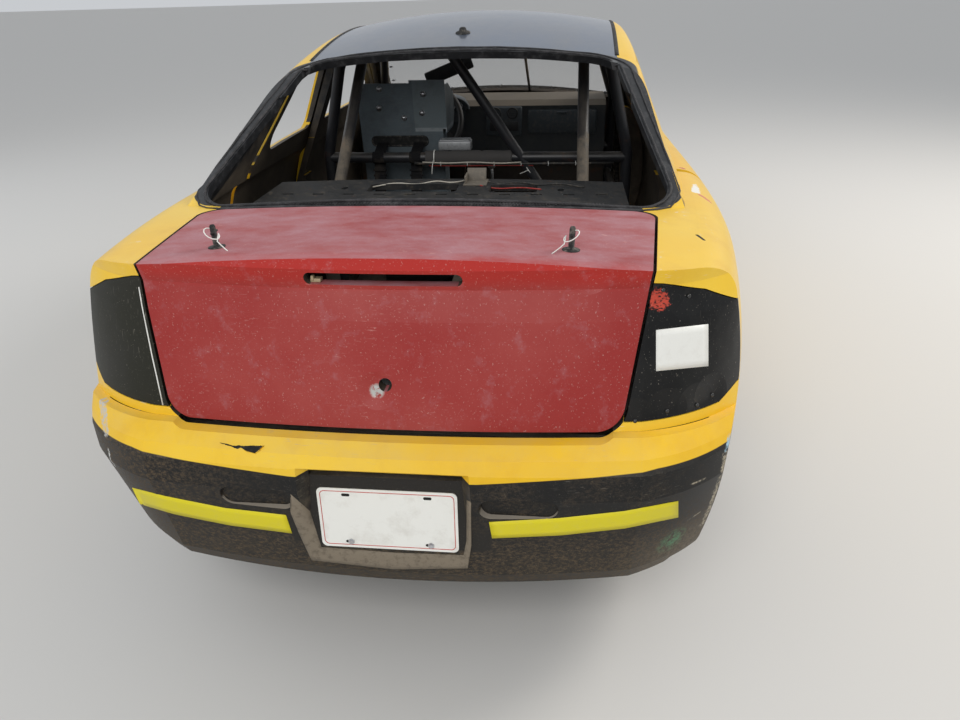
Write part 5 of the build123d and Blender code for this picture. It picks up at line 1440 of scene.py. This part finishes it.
# Half a tyre's section from the bead to the middle of the tread, in millimetres: kind of zone, then points
# across and out
TYRE_SECTION = [
    ("wall", (94.5, 190.5), (98.5, 197), (96.5, 203), (100, 215), (102.2, 229), (101.2, 230.5), (102.2, 232),
     (102.4, 244), (101.3, 259), (101.8, 260.5), (100.8, 262), (100, 275), (96.8, 288)),
    ("shoulder", (92, 298.5), (85, 306.3), (76, 310.8), (64, 314.2)),
    ("groove", (62, 314.4), (60, 307.2), (54, 307.2), (52, 314.7)),
    ("rib", (50.5, 314.8), (24, 314.9)),
    ("groove", (22.5, 314.9), (20.5, 307.2), (14.5, 307.2), (12.5, 314.9)),
    ("rib", (11, 314.9))]
TREAD_CUT = {"shoulder": 6.5, "rib": 3.5}
WHEEL_NUT = [(13.5, -1), (13.5, 2.5), (10.5, 4), (10.5, 18), (8, 22.5), (0, 23)]
VALVE = [(7.5, -1), (7, 8), (4.5, 14), (4.5, 28), (5.5, 29), (5.5, 37), (0, 38)]


def tyres():
    """Tyres: four grooves, slanted shoulder blocks, siped ribs, ringed walls; each replaces its plain node."""
    half = [(kind, across, radius) for kind, *points in TYRE_SECTION for across, radius in points]
    section = half + [(kind, -across, radius) for kind, across, radius in reversed(half)]
    steps = TREAD_PITCHES * 4
    for end, axle_x in AXLE_X.items():
        for name, sign in SIDES.items():
            rings = []
            for k in range(steps):
                ring = []
                for kind, across, radius in section:
                    turn = k
                    if kind in TREAD_CUT:
                        turn += 4 * TREAD_SLANT * abs(across) / 100
                        radius -= TREAD_CUT[kind] if k % 4 in (0, 1) else 0.0
                    if kind == "rib":
                        turn += (0.0, -0.30, 0.0, 0.30)[k % 4]
                    angle = FULL_TURN * turn / steps
                    ring.append((axle_x + radius * MM * math.cos(angle), sign * WHEEL_Y + across * MM,
                                 AXLE_Z + radius * MM * math.sin(angle)))
                rings.append(ring)
            node = f"tyre_{end}_{name}"
            tyre = Form().loft(rings, "joined").outward().piece(f"{node}_tread", "tyre_rubber",
                BODY_OF[node], False)
            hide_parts(node)


def wheel_fittings():
    """Five nuts and a valve on each wheel."""
    for end, axle_x in AXLE_X.items():
        for name, sign in SIDES.items():
            node = f"rim_{end}_{name}"

            def on_rim(circle, angle):
                start = (axle_x + circle * math.cos(angle), sign * 1.2, AXLE_Z + circle * math.sin(angle))
                return struck(node, start, (0, -sign, 0))[0]

            nuts = Form()
            for k in range(5):
                nuts.turned(WHEEL_NUT, on_rim(NUT_CIRCLE, math.radians(72 * k + 90)), (0, sign, 0), 6)
            nuts.piece(f"wheel_nuts_{end}_{name}", "nut_steel", BODY_OF[node], False)
            angle = math.radians(200)
            lean = (-0.25 * math.cos(angle), sign, -0.25 * math.sin(angle))
            valve = Form().turned(VALVE, on_rim(VALVE_CIRCLE, angle), lean, 12)
            valve.piece(f"valve_{end}_{name}", "black_rubber", BODY_OF[node])


def make_floor_and_light():
    """A pale floor, an even sky and three broad lamps."""
    Finish("floor_pale", (0.62, 0.61, 0.59), 0.8).done()
    half = FLOOR_SIZE / 2
    floor = Form()
    floor.quads([[(-half, -half, 0.0), (-half, half, 0.0)], [(half, -half, 0.0), (half, half, 0.0)]])
    obj = floor.object("floor", "floor_pale", False)
    world = bpy.data.worlds.new("studio")
    world.use_nodes = True
    background = world.node_tree.nodes["Background"]
    background.inputs["Color"].default_value = (0.93, 0.96, 1.0, 1.0)
    background.inputs["Strength"].default_value = SKY_STRENGTH
    bpy.context.scene.world = world
    for name, place, size, power, colour in (
            ("key", (1.0, -5.5, 5.0), 2.5, 270.0, (1.0, 0.95, 0.88)),
            ("rear_fill", (-6.5, 0.5, 4.5), 3.5, 170.0, (1.0, 0.98, 0.95)),
            ("left_fill", (0.5, 6.0, 4.0), 4.0, 60.0, (0.92, 0.96, 1.0))):
        light = bpy.data.objects.new(name, bpy.data.lights.new(name, "AREA"))
        light.data.size, light.data.energy, light.data.color = size, power, colour
        light.location = place
        light.rotation_euler = (LIT_PLACE - Vector(place)).to_track_quat("-Z", "Y").to_euler()
        bpy.context.scene.collection.objects.link(light)


bpy.context.scene.view_settings.view_transform = "Standard"
noise.seed_set(NOISE_SEED)
for make in (make_floor_and_light, tapes_and_square, cover_screws, lid_pins, lid_trim, bumper_tear,
        plate_tray,
             plate_details, window_sealant, screen_edges, roof_details, harness, bar_foam, seat_details,
             dash_details, mirror, cabin_wiring, floor_controls, front_lamps, intake_mesh, hood_pins,
             door_handles, exhaust_tip, engine_dressing, wheel_house_edges, boot_details, tyres, wheel_fittings):
    make()
